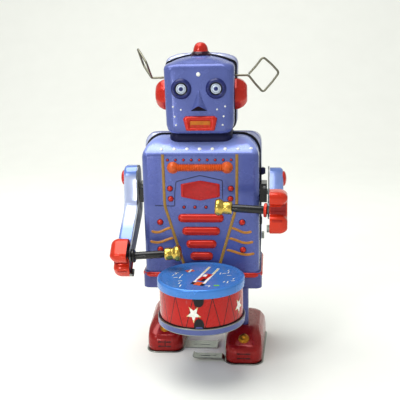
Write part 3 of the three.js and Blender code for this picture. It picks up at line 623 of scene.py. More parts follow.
def build_coil():
    """Ribbed bar with a round knob at each end."""
    shape = Shape()
    half, up, radius, pitch = 17.5, 80.3, 2.3, 1.15
    profile = []
    steps = int(2 * half / pitch * 6)
    for x in spread(-half, half, steps):
        profile.append((radius * (1 + 0.13 * math.cos(2 * math.pi * x / pitch)), x))
    shape.turn(profile, chest(0, up, 0.3), (1, 0, 0), segments=24)
    for side in (-1, 1):
        knob = [(3.9, -0.2), (3.9, 0.5), (3.5, 1.3), (3.1, 1.5), (2.9, 1.9), (2.3, 2.9),
                (1.2, 3.5), (0, 3.7)]
        shape.turn(rounded(knob, 0.4, 3), chest(side * half, up), FORWARD, segments=32)
    piece("chest_coil_bar", shape, "torso", [looks["orange"]])


def build_louvres():
    shape = Shape()
    for half, up in ((15, 46.6), (12.5, 37.8), (10, 28.9), (7.5, 20.6)):
        radius, proud = 2.9, 2.3
        loops = []
        for k in range(41):
            x = -half * math.cos(math.pi * k / 40)
            inset = max(0, abs(x) - (half - radius)) / radius
            share = math.sqrt(max(0.0, 1 - inset ** 2)) ** 0.8
            angles = [math.pi * i / 14 for i in range(15)]
            loops.append([chest(x, up + radius * share * math.cos(a), proud * share * math.sin(a))
                          for a in angles])
        shape.grid(loops)
    piece("chest_louvres", shape, "torso", [looks["red"]])


def build_hexagon():
    """Raised six-sided panel with a lighter edge, and the dark line drawn round it."""
    outline = [(0, 58.8), (12, 61.1), (12, 69.2), (0, 71.4), (-12, 69.2), (-12, 61.1)]
    centre = Vector((0, 65.1))
    shape = Shape()
    loops = []
    for share, proud in ((1.06, -0.1), (1.05, 0.35), (1.0, 0.75), (0.93, 0.85), (0.9, 0.6)):
        corners = [centre + (Vector(corner) - centre) * share for corner in outline]
        loops.append([chest(p.x, p.y, proud) for p in rounded(corners, 0.8, 3, closed=True)])
    shape.loft(loops, [1, 1, 1, 0], caps=(False, True))
    piece("chest_panel", shape, "torso", [looks["hexagon"], looks["hexagon_edge"]])

    lines = Shape()
    frame_line = [(-30, 55), (-17, 54.7), (-16.7, 64), (-15.7, 71), (0, 75.1), (14.5, 71.8), (14.4, 59.5)]
    for path in (frame_line, [(30, 55.4), (25.5, 55)]):
        points = rounded(path, 0.8, 3)
        lines.rib([chest(p.x, p.y) for p in points], 0.3, 0.06, FORWARD)
    piece("chest_outline", lines, "torso", [looks["outline"]])


def build_gold_lines():
    shape = Shape()
    for side in (-1, 1):
        path = rounded([(24, 89), (23.6, 55), (12.4, 16.4), (10.2, 9.7)], [0, 3, 3, 0], 6)
        points = []
        for a, b in zip(path, path[1:]):
            points += [a + (b - a) * k / 4 for k in range(4)]
        points.append(path[-1])
        shape.rib([chest(side * p.x, p.y) for p in points], 0.98, 0.5, FORWARD)
    piece("chest_gold_lines", shape, "torso", [looks["gold"]])

    waves = Shape()
    for side in (-1, 1):
        for start, end, up in ((20, 33.2, 38.5), (18.4, 34.2, 31.5), (16.4, 35, 23.5)):
            points = []
            for k in range(25):
                share = k / 24
                x = start + (end - start) * share
                points.append(chest(side * x, up + 1.3 * math.cos(1.45 * math.pi * share) - 0.6 * share))
            waves.rib(points, 0.88, 0.3, FORWARD, taper=0.06)
    piece("chest_waves", waves, "torso", [looks["wave"]])


def roof_point(up):
    """Depth and outward direction of the body's yoke at a height above the lower edge."""
    levels = [(z, depth) for z, _, depth, _ in body_levels(-1, 0.0)]
    for (z0, d0), (z1, d1) in zip(levels, levels[1:]):
        if z0 <= BODY.low + up <= z1 and z1 > z0:
            share = (BODY.low + up - z0) / (z1 - z0)
            normal = Vector((0, -(z1 - z0), d0 - d1)).normalized()
            return d0 + (d1 - d0) * share, normal
    raise ValueError("no yoke at that height")


def build_chest_rivets():
    shape = Shape()
    depth, normal = roof_point(91.9)
    for k in range(8):
        x = -24.9 + 8.25 * k
        sunk = 0.7 if abs(x) > 31 else 0.0
        shape.dome((x, BODY.seam - depth + sunk, BODY.low + 91.9), normal, 1.25, 0.7)
    piece("yoke_rivets", shape, "torso", [looks["white"]])

    dots = Shape()
    for k in range(9):
        dots.dome(chest(-20.8 + 5.14 * k, 85.3), FORWARD, 1.05, 0.3, paint=1)
        dots.dome(chest(-20.8 + 5.14 * k, 85.3, 0.1), FORWARD, 0.72, 0.45, paint=0)
    for k in range(4):
        dots.dome(chest(-10.9 + 7.2 * k, 54), FORWARD, 1.25, 0.35, paint=1)
        dots.dome(chest(-10.9 + 7.2 * k, 54, 0.1), FORWARD, 0.8, 0.5, paint=0)
    piece("chest_dots", dots, "torso", [looks["red"], looks["outline"]])

    screws = Shape()
    for side in (-1, 1):
        for x, up, radius in ((19.8, 66.4, 1.75), (19.5, 59.6, 1.75), (27, 43.8, 1.9), (27.4, 25.1, 1.9)):
            screws.dome(chest(side * x, up), FORWARD, radius + 0.35, 0.25, paint=1, segments=24)
            screws.dome(chest(side * x, up, 0.1), FORWARD, radius, 1.35, paint=0, segments=24)
    piece("chest_studs", screws, "torso", [looks["red"], looks["outline"]])


# ------------------------------------------------------------------ waist, collar

def build_waist():
    """Skirt with a rolled lower edge, and the half-round bead that makes the belt."""
    pan = box("base_pan")
    low, high = pan.low.z, pan.high.z
    skirt_out = pan.size.x / 2 - BODY.half
    bead = high - 3.7
    profile = [(-2.5, low + 0.05), (skirt_out - 1, low), (skirt_out, low + 1),
               (skirt_out + 0.05, bead - 0.9),
               (skirt_out - 0.9, bead - 0.35), (skirt_out - 0.8, bead)]
    skirt_rows = len(profile) - 1
    for k in range(1, 12):
        angle = math.pi * k / 11
        profile.append((skirt_out - 0.9 + 1.5 * math.sin(angle), bead + 1.75 * (1 - math.cos(angle))))
    profile += [(skirt_out - 1.5, high - 0.1), (-0.2, high - 0.4), (-0.4, high - 2)]
    shape = Shape()
    loops = []
    for out, z in profile:
        stretch = out * (pan.size.y / 2 - BODY.depth) / skirt_out
        tuck = 3 - math.sqrt(9 - (3 - min(3, z - low)) ** 2)
        plan = rounded_plan(-BODY.half - out + tuck, BODY.half + out - tuck,
                            BODY.seam - BODY.depth - stretch, BODY.seam + BODY.depth + stretch, 4 + out, 12)
        loops.append([(x, y, z) for x, y in plan])
    paint = [0] * skirt_rows + [1] * 12 + [0] * (len(profile) - skirt_rows - 13)
    shape.loft(loops, paint, caps=(False, False))
    piece("waist_band", shape, "torso", [looks["skirt"], looks["red"]], smooth=30, wall=0.3)


def build_collar():
    collar = box("neck_collar")
    shape = Shape()
    loops = []
    for grow, z in ((0.6, collar.low.z - 2), (0.5, collar.high.z - 3), (0, collar.high.z - 2.2),
                    (0, collar.high.z + 0.2), (-1.4, collar.high.z + 0.8)):
        plan = rounded_plan(collar.low.x - grow, collar.high.x + grow, collar.low.y - grow,
                            collar.high.y + grow, 6)
        loops.append([(x, y, z) for x, y in plan])
    shape.loft(loops, caps=(False, False))
    # The collar is painted dark navy as the shade under the head; it is taken to be blue like the body.
    piece("neck", shape, "torso", [looks["navy"]], ["neck_collar"], wall=TIN)


# ------------------------------------------------------------------ head

def face(x, up, proud=0.0):
    """A point of the face, `up` above the head's lower edge."""
    return Vector((x, HEAD.face - proud, HEAD.low + up))


def build_eyes():
    shape = Shape()
    rings = [(0, 1.6, 3), (1.15, 1.55, 3), (1.35, 1.35, 2), (2.3, 1.3, 2), (2.5, 1.15, 4),
             (2.7, 1.3, 2), (3.2, 1.2, 1),
             (3.5, 0.8, 1), (4.1, 0.9, 0), (4.6, 1.4, 0), (5.2, 1.5, 0), (5.7, 1.2, 0),
             (5.9, 0.7, 0), (6.3, 0.55, 0),
             (6.6, 0.0, 0), (6.6, -0.3, 0)]
    for side in (-1, 1):
        profile = [(radius, proud) for radius, proud, _ in rings]
        shape.turn(profile, face(side * 11.1, 27.7), FORWARD, [paint for _, _, paint in rings[:-1]], 56)
    piece("eyes", shape, "torso", [looks["eye_navy"], looks["black_ink_and_shade"], looks["iris"], looks["eye_navy"],
                                   looks["outline"]], smooth=50)


def build_nose():
    """A ridge that grows out of the face and ends in a dark open underside."""
    shape = Shape()
    rows = []
    columns = 17
    for k in range(15):
        share = k / 14
        half = 0.9 + 4.6 * share ** 1.5
        ridge = 4.9 * share ** 1.2 + 0.05
        row = []
        for c in range(columns):
            across = -1 + 2 * c / (columns - 1)
            tent = 1 - abs(across) ** 1.15
            up = 27.2 - 13.6 * share + 3.6 * share ** 5 * tent
            row.append(face(across * half, up, ridge * tent - 0.05))
        rows.append(row)
    start = shape.grid(rows, 0)
    last = start + 14 * columns
    # The open underside is painted black as shade.
    shape.face(range(last, last + columns), 1)
    piece("nose", shape, "torso", [looks["violet"], looks["black_ink_and_shade"]], smooth=50)


def build_mouth():
    """A raised red frame round a sunken yellow bar."""
    middle = 0.6
    outer = [(-9.2, 0.9), (9.2, 0.9), (11.1, 8.9), (9.3, 10.4), (-9.3, 10.4), (-11.1, 8.9)]
    inner = [(-6.3, 3.1), (6.3, 3.1), (6.5, 6.6), (6.3, 7.3), (-6.3, 7.3), (-6.5, 6.6)]
    levels = ((0.0, -0.2), (0.04, 0.7), (0.22, 1.7), (0.55, 1.9), (0.85, 1.5), (1.0, 0.6))
    loops = []
    for share, proud in levels:
        corners = [Vector(a) + (Vector(b) - Vector(a)) * share for a, b in zip(outer, inner)]
        loops.append([face(middle + p.x, p.y, proud) for p in rounded(corners, 0.7, 4, closed=True)])
    shape = Shape()
    shape.loft(loops, 0, caps=(False, True))
    shape.paint[-1] = 1
    piece("mouth", shape, "torso", [looks["red"], looks["yellow"]], smooth=50)
    glow = Shape()
    glow.grid([[face(middle + x, up, 0.66) for x in (-6.1, 0, 6.1)] for up in (3.2, 4.0, 4.8)])
    piece("mouth_glow", glow, "torso", [looks["mouth_glow"]])


def build_face_rivets():
    shape = Shape()
    shape.dome(face(0, 36.7), FORWARD, 1.35, 0.8)
    for side in (-1, 1):
        for x, up in ((16.7, 16.4), (11.6, 14.5), (15.7, 10.1), (15, 4.6)):
            shape.dome(face(side * x, up), FORWARD, 0.62, 0.45, segments=14)
    piece("face_rivets", shape, "torso", [looks["white"]])


def build_head_top():
    dome = box("head_dome")
    base = dome.low.z
    shape = Shape()
    profile = [(0, base - 0.8), (6.4, base - 0.8), (6.4, base + 0.3), (5.3, base + 1.8), (4.95, base + 2.0),
               (4.8, base + 3.2), (4.2, base + 5.2), (3.1, base + 6.8), (1.6, base + 7.55),
               (0, dome.high.z)]
    profile = rounded(profile, 0.8, 4)
    # The foot of the dome is painted maroon as the shade under the red dome.
    paint = [0 if height > base + 1.95 else 1 for _, height in profile[1:]]
    shape.turn([(radius, height) for radius, height in profile], (0, BODY.seam, 0), (0, 0, 1), paint, 40)
    piece("dome", shape, "torso", [looks["red"], looks["maroon_shade"]], ["head_dome"], smooth=50)

    # The clasp is painted maroon as the shade in the notch under the dome.
    clasp = Shape()
    front = BODY.seam - 4.6
    loops = []
    for grow, z in ((1.6, HEAD.top - 3.2), (0, HEAD.top + 0.5), (-0.8, HEAD.top + 0.9)):
        plan = rounded_plan(-6.2 - grow, 6.4 + grow, front - grow, BODY.seam + 3 + grow, 1.2, 4)
        loops.append([(x, y, z) for x, y in plan])
    clasp.loft(loops, 0)
    slab(clasp, -5.6, 4.6, front - 5.2, front - 0.3, HEAD.top - 3.6, HEAD.top - 1.0, 0.8, paint=1)
    piece("head_clasp", clasp, "torso", [looks["maroon_shade"], looks["violet"]])


def build_ears():
    for side, name in SIDES:
        ear = box(f"{name}_ear")
        root = ear.low.x if side > 0 else ear.high.x
        reach = ear.size.x
        profile = [(10.9, -0.4), (10.9, 0.5), (10.6, 1.8), (9.9, 3.3), (9.0, 4.8), (7.4, 6.2),
                   (6.2, reach - 0.3),
                   (5.4, reach), (4.6, reach), (0, reach)]
        shape = Shape()
        loops = []
        for radius, out in profile[:-1]:
            points = []
            for k in range(8):
                angle = math.pi / 4 * (k + 0.5)
                points.append((root + side * out, ear.mid.y + radius * math.cos(angle),
                               ear.mid.z + radius * math.sin(angle)))
            loops.append([tuple(p) for p in rounded(points, 0.9, 3, closed=True)])
        shape.loft(loops)
        piece(f"{name}_ear_cover", shape, "torso", [looks["red"]], [f"{name}_ear"], smooth=25)


def build_antennas():
    side = HEAD.half - 1
    left_up, right_up = 34.3, 33.6
    left = (Vector((side, BODY.seam, HEAD.low + left_up)), Vector((31, BODY.seam, HEAD.low + left_up)),
            Vector((1, 0, 0.07)), Vector((0, 0, 1)))
    right = (Vector((-side, BODY.seam, HEAD.low + right_up)),
             Vector((-32.8, BODY.seam, HEAD.low + right_up - 0.4)), Vector((-0.44, 0, 0.97)),
             Vector((0.24, -0.95, 0.13)))
    for name, (root, elbow, along, across) in (("left", left), ("right", right)):
        corners = [root, elbow]
        for u, v in ((4, -5.4), (9.5, -12), (15.5, -5.6), (20, 0), (15, 5.8), (9.5, 11), (4.5, 5),
                     (0.2, 0.7)):
            corners.append(elbow + along * u + across * v)
        shape = Shape()
        shape.tube(rounded(corners, [0, 1.5, 1, 2.2, 1, 2.2, 1, 2.2, 1, 0], 6), 0.72, segments=12)
        piece(f"{name}_antenna_wire", shape, "torso", [looks["wire"]], [f"{name}_antenna"], smooth=60)


# ------------------------------------------------------------------ drum

def drum_point(radius, arc, z):
    """A point on the drum's side, `arc` millimetres round from its front."""
    centre = box("drum_band").mid
    angle = arc / radius
    return Vector((centre.x + radius * math.sin(angle), centre.y - radius * math.cos(angle), z))


STAR = SimpleNamespace(size=5.2, inner=2.0, stretch=1.1)


def star_points():
    """Tips and notches of a five-pointed star with one tip down."""
    points = []
    for k in range(10):
        angle = -math.pi / 2 + math.pi * k / 5
        reach = STAR.size if k % 2 == 0 else STAR.inner
        points.append((reach * math.cos(angle) * 0.92, reach * math.sin(angle) * STAR.stretch))
    return points


def build_drum():
    top, band, bottom = box("drum_top"), box("drum_band"), box("drum_bottom")
    centre = (band.mid.x, band.mid.y, 0)
    rim = top.size.x / 2
    shell = band.size.x / 2
    upper, edge = top.high.z, top.low.z
    lid = [(0, upper - 0.7), (rim - 3.4, upper - 0.7), (rim - 2.6, upper - 0.6), (rim - 1.9, upper - 0.05),
           (rim - 0.9, upper + 0.05), (rim - 0.1, upper - 0.7), (rim, upper - 1.6),
           (rim, edge + 0.5), (rim - 0.3, edge),
           (shell + 0.2, edge), (shell + 0.2, edge + 1)]
    shape = Shape()
    shape.turn(lid, centre, (0, 0, 1), 0, 96)
    piece("drum_lid", shape, "torso", [looks["lid"]], ["drum_top"], smooth=50)

    shape = Shape()
    shape.turn([(shell, z) for z in spread(band.low.z, band.high.z, 12)], centre, (0, 0, 1), 0, 96)
    piece("drum_side", shape, "torso", [looks["band"]], ["drum_band"], wall=TIN)

    low, high = bottom.low.z, bottom.high.z
    base = [(0, low + 0.5), (rim - 2.6, low + 0.5), (rim - 2, low + 0.1), (rim - 0.9, low),
            (rim - 0.2, low + 0.35),
            (rim, low + 0.9), (rim, high - 0.7), (rim + 0.1, high - 0.35), (rim - 0.15, high),
            (shell + 0.3, high),
            (shell + 0.2, high - 1)]
    paint = [0, 0, 0, 1, 1, 0, 1, 1, 1, 0]
    shape = Shape()
    shape.turn(base, centre, (0, 0, 1), paint, 96)
    piece("drum_base", shape, "torso", [looks["rim"], looks["steel"]], ["drum_bottom"], smooth=50)
    build_drum_prints(shell, edge, high, upper)


def build_drum_prints(shell, edge, high, upper):
    """Stars and black half discs on the side, and a generic motif of two sticks on the lid."""
    stars = Shape()
    for k in range(5):
        arc = (-5.1 + 72 * k) * math.pi / 180 * shell
        star_patch(stars, shell + 0.08, arc, 52.8, 0)
        for ray in range(5):
            star_tip(stars, shell + 0.13, arc, 52.8, ray, 1)
    piece("drum_stars", stars, "torso", [looks["white"], looks["cream"]])

    # The notches are drawn as black half discs: painted shade for the dark inside seen through them.
    notches = Shape()
    for z, way, reach in ((edge - 0.1, -1, 5.2), (high + 0.1, 1, 6.2)):
        radius = 3.2
        rows = []
        for share in spread(0, 1, 6):
            row = []
            for k in range(17):
                angle = math.pi * k / 16
                arc = 0.9 + radius * share * math.cos(angle)
                row.append(drum_point(shell + 0.2, arc, z + way * reach * share * math.sin(angle) ** 0.7))
            rows.append(row)
        notches.grid(rows)
    lip = [[drum_point(shell + 0.28, 0.9 + reach, high + z) for reach in spread(-half, half, 5)]
           for half, z in ((2.6, -0.2), (2.2, 0.4), (1.6, 1.1))]
    notches.grid(lip, 1)
    piece("drum_notches", notches, "torso", [looks["black_ink_and_shade"], looks["rim"]])

    motif = Shape()
    middle = Vector((box("drum_band").mid.x, box("drum_band").mid.y, upper - 0.7))

    def bar(x0, y0, x1, y1, half, paint, lift=0.08):
        """A flat stroke with cut ends."""
        start, end = Vector((x0, y0, lift)), Vector((x1, y1, lift))
        across = (end - start).normalized().cross(Vector((0, 0, 1))) * half
        corners = [[start - across, start + across], [end - across, end + across]]
        motif.grid([[middle + corner for corner in row] for row in corners], paint)

    for x, y in ((-3.3, -11.4), (2.7, -14.4)):
        bar(x, y, x + 7.4, y + 30, 0.8, 0)
        bar(x + 4.4, y + 18, x + 7.2, y + 29, 0.45, 5, 0.12)
        bar(x - 0.8, y - 2.6, x + 0.1, y + 0.9, 1.1, 1, 0.12)
    bar(0.2, -8, 5.2, 4.5, 2.4, 2, 0.1)
    bar(1.6, -9, 3.0, -4.4, 1.1, 1, 0.14)
    bar(2.0, -0.6, 3.1, 3.4, 1.1, 0, 0.16)
    bar(-1.4, -16, 0.8, -10.6, 2.3, 3, 0.1)
    bar(-10.2, 9, -5.8, 12, 2.0, 3)
    bar(-8.4, 7.6, -7.2, 13.4, 0.6, 0, 0.12)
    bar(9.4, -16.4, 12.6, -16, 1.0, 4)
    ticks = ((-17.5, 6), (-18.2, 1), (-16.4, 3.4), (-17, -3), (-12.6, 1), (-13.2, -4), (-13.4, -9),
             (-12.6, -14),
             (-11.2, -19), (4.4, -17), (6.2, -19), (11.6, 4), (13, 5.6), (16.2, 11), (16.6, 6.4), (16.2, 2),
             (14.6, -10.6), (17, -12), (19.2, -7.8), (20.2, -5))
    for k, (x, y) in enumerate(ticks):
        lean = 0.5 + 1.9 * (k % 3) / 2
        bar(x, y, x + 1.3 / lean, y + 1.5 * lean, 0.3, 0)
    piece("drum_motif", motif, "torso", [looks["white"], looks["black_ink_and_shade"], looks["red"], looks["orange"],
                                         looks["green"], looks["cream"]])


def star_patch(shape, radius, arc, z, paint):
    """A star laid on the curved side, as fans of small faces from its middle."""
    outline = star_points()
    rows = []
    for share in spread(0, 1, 5):
        row = []
        for (x0, y0), (x1, y1) in zip(outline, outline[1:] + outline[:1]):
            for k in range(3):
                x, y = x0 + (x1 - x0) * k / 3, y0 + (y1 - y0) * k / 3
                row.append(drum_point(radius, arc + x * share, z + y * share))
        rows.append(row)
    shape.grid(rows, paint, wrap=True)


def star_tip(shape, radius, arc, z, ray, paint):
    """The coloured end of one ray of a star."""
    outline = star_points()
    tip = Vector(outline[2 * ray])
    start = len(shape.points)
    for corner in (tip, tip.lerp(Vector(outline[2 * ray - 1]), 0.5),
                   tip.lerp(Vector(outline[2 * ray + 1]), 0.5)):
        shape.points.append(tuple(drum_point(radius, arc + corner.x, z + corner.y)))
    shape.face((start, start + 1, start + 2), paint)


# ------------------------------------------------------------------ arms

def arm_frame(side, name):
    """Turns the hanging arm's own frame, with its origin at the shoulder pivot, into place."""
    pivot = joint_place(f"{name}_arm_swing")
    raised = math.radians(40) if side > 0 else 0.0
    return Matrix.Translation((0, pivot.y, pivot.z)) @ Matrix.Rotation(-raised, 4, "X")


def limb_outline(centres, radii, inset, steps=8):
    """Outline round a row of circles along a bent centre line, as (y, z) pairs."""
    points = [Vector(centre) for centre in centres]
    count = len(points)
    left, right = [], []
    for i, point in enumerate(points):
        ahead = (points[min(i + 1, count - 1)] - points[max(i - 1, 0)]).normalized()
        across = Vector((-ahead.y, ahead.x))
        radius = radii[i] - inset
        left.append(point + across * radius)
        right.append(point - across * radius)

    def end_cap(point, inward, radius, from_side):
        start = math.atan2(from_side.y - point.y, from_side.x - point.x)
        return [point + Vector((math.cos(start - math.pi * k / steps),
                                math.sin(start - math.pi * k / steps))) * radius
                for k in range(1, steps)]

    tail = end_cap(points[-1], None, radii[-1] - inset, left[-1])
    head = end_cap(points[0], None, radii[0] - inset, right[0])
    return left + tail + right[::-1] + head


def smooth_line(points, count):
    """A Catmull-Rom line through the points, with `count` steps in each span."""
    points = [Vector(p) for p in points]
    padded = [2 * points[0] - points[1]] + points + [2 * points[-1] - points[-2]]
    result = []
    for a, b, c, d in zip(padded, padded[1:], padded[2:], padded[3:]):
        for k in range(count):
            t = k / count
            result.append(0.5 * (2 * b + (c - a) * t + (2 * a - 5 * b + 4 * c - d) * t ** 2
                                 + (3 * b - a - 3 * c + d) * t ** 3))
    return result + [points[-1]]


def build_arm(side, name):
    place = arm_frame(side, name)
    body = f"{name}_arm"
    shell = box(f"{name}_arm_shell")
    inner, outer = sorted((abs(shell.low.x), abs(shell.high.x)))
    centres = smooth_line([(1.2, 11), (-0.1, 0), (-1.8, -9), (-7, -15), (-17, -20.8), (-29, -28)], 5)
    radii = [7.4 - 1.6 * k / (len(centres) - 1) for k in range(len(centres))]
    shape = Shape()
    loops = []
    for inset, x in ((0.9, inner), (0, inner + 0.05), (0, outer - 2.6), (0.25, outer - 1.6),
                     (0.8, outer - 0.75),
                     (1.7, outer - 0.18), (2.8, outer)):
        loops.append([(side * x, y, z) for y, z in limb_outline(centres, radii, inset)])
    shape.loft(loops, caps=(False, True))
    piece(f"{name}_arm_cover", shape.moved(place), body, [looks["arm"]], [f"{name}_arm_shell"], smooth=45)

    cap = Shape()
    profile = [(5.2, -0.5), (5.2, 0.4), (4.7, 1.1), (3.4, 1.7), (1.6, 2.1), (0, 2.2)]
    cap.turn(rounded(profile, 0.6, 4), (side * outer, 0, 10), (side, 0, 0), 0, 40)
    piece(f"{name}_shoulder_disc", cap.moved(place), body, [looks["red"]],
          [f"{name}_shoulder_cap"], smooth=50)
    build_hand(side, name, place)
    build_stick(side, name, place)


HAND = SimpleNamespace(front=-61.6, back=-45.0, top=13.2, bottom=-12.8, groove=2.0)
SWING = math.radians(40)


def hand_outline(inset):
    """Side view of the fist, upright as on the raised arm: two lobes with a groove between."""
    front, back = HAND.front + inset, HAND.back - inset
    top, bottom = HAND.top - inset, HAND.bottom + inset
    lip = 3.9 + inset
    floor = HAND.front + 4.6 + inset
    corners = [(front, bottom), (front, HAND.groove - lip), (floor, HAND.groove - lip + 1.0),
               (floor, HAND.groove + lip - 1.4), (front, HAND.groove + lip), (front, top), (back, top),
               (back, bottom)]
    radii = [4.6, 2.6, 1.4, 1.8, 3.2, 6.5, 6, 5]
    return rounded(corners, [max(radius - inset, 0.4) for radius in radii], 7, closed=True)


def build_hand(side, name, place):
    hand = box(f"{name}_hand")
    inner, outer = sorted((abs(hand.low.x), abs(hand.high.x)))
    place = place @ Matrix.Rotation(SWING, 4, "X")
    shape = Shape()
    loops = []
    for inset, x in ((1.4, inner + 0.9), (0.5, inner + 0.1), (0.1, inner), (0, inner + 0.8),
                     (0, outer - 4.2),
                     (0.4, outer - 2.7), (1.0, outer - 1.5), (1.9, outer - 0.5), (2.8, outer)):
        loops.append([(side * x, y, z) for y, z in hand_outline(inset)])
    shape.loft(loops, caps=(False, True))
    piece(f"{name}_fist", shape.moved(place), f"{name}_arm", [looks["hand"]], [f"{name}_hand"], smooth=45)

    lining = Shape()
    loops = [[(side * x, y, z) for y, z in hand_outline(0.9)] for x in (inner + 0.7, inner + 1.5)]
    lining.loft(loops)
    piece(f"{name}_fist_lining", lining.moved(place), f"{name}_arm", [looks["dark_steel"]], smooth=45)

    crease = Shape()
    for level in (HAND.groove - 5.6, HAND.groove - 6.4):
        points = [(side * x, HAND.front - 0.02, level) for x in spread(inner + 1.6, outer - 3.2, 8)]
        crease.rib(points, 0.2, 0.12, FORWARD)
    piece(f"{name}_fist_creases", crease.moved(place), f"{name}_arm", [looks["foot"]])

    # Painted shade: dark red strips on the floor of the groove, where shade falls between the lobes.
    recess_shade = Shape()
    for level, reach in ((HAND.groove + 1.9, 4.52), (HAND.groove - 0.4, 4.52), (HAND.groove - 2.2, 4.1)):
        points = [(side * x, HAND.front + reach, level) for x in spread(inner + 0.4, outer - 1.0, 8)]
        recess_shade.rib(points, 1.25, 0.06, FORWARD)
    piece(f"{name}_fist_recess_shade", recess_shade.moved(place), f"{name}_arm", [looks["foot"]])

    tab = Shape()
    edge = rounded([(HAND.front + 6.5, HAND.bottom + 2), (HAND.front + 2.4, HAND.bottom + 0.6),
                    (HAND.front + 0.2, HAND.bottom + 3.4), (HAND.front + 0.1, HAND.bottom + 6.4)], 1.6, 5)
    tab.grid([[(side * (inner - x), p.x, p.y) for p in edge] for x in spread(-0.4, 1.7, 4)])
    piece(f"{name}_fist_tab", tab.moved(place), f"{name}_arm", [looks["steel"]], wall=0.5)


def build_stick(side, name, place):
    """Black drumstick with a turned brass bell on its end, tipped up by a few degrees."""
    cad_start, start, stop = 52.0, 47.0, 21.5
    tilt = (Matrix.Translation((side * cad_start, -40.3, -33.9))
            @ Matrix.Rotation(side * math.radians(4), 4, "Y"))

    def along(x):
        return side * (x - cad_start)

    stick = Shape()
    profile = [(0, along(start + 1)), (2.3, along(start + 1)), (2.5, along(start)), (2.5, along(stop + 3)),
               (2.2, along(stop + 1)), (2.2, along(stop)), (0, along(stop))]
    stick.turn(profile, (0, 0, 0), (1, 0, 0), 0, 32)
    ring = [(2.5, along(43.4)), (3.9, along(43.4)), (4.4, along(43)), (4.4, along(42)), (3.9, along(41.4)),
            (2.5, along(41.4))]
    stick.turn(ring, (0, 0, 0), (1, 0, 0), 1, 32)
    ring_look = looks["hand"] if side > 0 else looks["black"]
    piece(f"{name}_stick", stick.moved(place @ tilt), f"{name}_arm", [looks["black"], ring_look],
          [f"{name}_drumstick"], smooth=40)

    bell = Shape()
    profile = [(0, 0.5), (3.3, 0.5), (3.8, 0.2), (4, -0.2), (4, -3.9), (3.8, -4.2), (3.75, -4.6), (4, -5.2),
               (4.6, -6), (5.1, -6.9), (5.3, -7.8), (5.2, -8.7), (4.8, -9.5), (4.1, -9.9), (3.2, -9.8),
               (2.4, -9.2), (1.8, -9), (1.4, -8.4), (0, -8.3)]
    # The middle of the bell's mouth is painted black as the shade in its hollow.
    bell.turn([(radius, along(stop) + side * height) for radius, height in profile], (0, 0, 0), (1, 0, 0),
              [0] * 16 + [1, 1], 48)
    piece(f"{name}_bell", bell.moved(place @ tilt), f"{name}_arm", [looks["brass"], looks["black_ink_and_shade"]],
          [f"{name}_drumstick_bell"], smooth=55)


# ------------------------------------------------------------------ legs and feet

def build_leg(side, name):
    body = f"{name}_leg"
    tube = box(f"{name}_leg_tube")
    shape = Shape()
    loops = []
    for z in (tube.low.z + 4, tube.high.z):
        plan = rounded_plan(tube.low.x, tube.high.x, tube.low.y, tube.high.y, 2.2)
        loops.append([(x, y, z) for x, y in plan])
    shape.loft(loops, caps=(False, True))
    seam_x = tube.mid.x + side * 2.2
    seam_line = [(seam_x, tube.low.y, z) for z in spread(tube.low.z + 6, tube.high.z, 6)]
    shape.rib(seam_line, 0.35, 0.25, FORWARD, paint=1)
    piece(f"{name}_leg_cover", shape, body, [looks["skirt"], looks["outline"]], [f"{name}_leg_tube"])
    build_foot(side, name)
    build_sole(side, name)

    stud_box = box(f"{name}_toe_stud")
    slope = Vector((0, -0.44, 0.9)).normalized()
    stud = Shape()
    profile = [(4.1, -0.8), (4.0, 0.1), (3.7, 0.35), (3.55, 1.0), (2.9, 1.9), (1.6, 2.5), (0, 2.7)]
    stud.turn(rounded(profile, 0.5, 4), stud_box.mid - slope * 1.3, slope, 0, 36)
    piece(f"{name}_toe_button", stud, body, [looks["dull_brass"]], [f"{name}_toe_stud"],
          smooth=50)


FLARE = 2.5


def foot_plan(foot, toe, heel, half, corner):
    """Foot outline seen from above; it widens towards the heel."""
    corner = min(corner, 0.49 * (heel - toe), half - 0.5)
    outline = []
    length = foot.high.y - foot.low.y
    for x, y in rounded_plan(-half, half, toe, heel, corner, 10):
        widen = FLARE * (y - foot.low.y) / length
        outline.append((foot.mid.x + x * (1 + widen / 12), y))
    return outline


def foot_levels(foot):
    """(height, toe, heel, half width at the toe, corner) from the sole to the rounded top."""
    low, high = foot.low.z, foot.high.z
    toe, heel = foot.low.y, foot.high.y
    half = foot.size.x / 2 - FLARE + 0.05
    levels = [(low, toe + 0.5, heel - 0.5, half - 0.5, 6.5), (low + 0.5, toe, heel, half, 7),
              (low + 4, toe, heel, half, 7), (low + 7.6, toe + 0.1, heel - 0.3, half - 0.05, 7),
              (low + 9.6, toe + 0.7, heel - 0.6, half - 0.2, 7),
              (low + 11.2, toe + 1.7, heel - 0.9, half - 0.4, 7)]
    start, crown = low + 11.2, high - 2.2
    for share in spread(0.14, 1, 7):
        z = start + (crown - start) * share
        side = half - 0.4 - 2.0 * share ** 2
        levels.append((z, toe + 1.7 + 9.5 * share, heel - 0.9 - 1.4 * share ** 2, side, 7))
    for k in range(1, 7):
        angle = math.pi / 2 * k / 6
        drop = 4.4 * (1 - math.cos(angle))
        z = crown + 2.2 * math.sin(angle)
        levels.append((z, toe + 11.2 + 6.5 * math.sin(angle) + drop * 0.4,
                       heel - 2.3 - drop, half - 2.4 - drop, 7))
    return levels


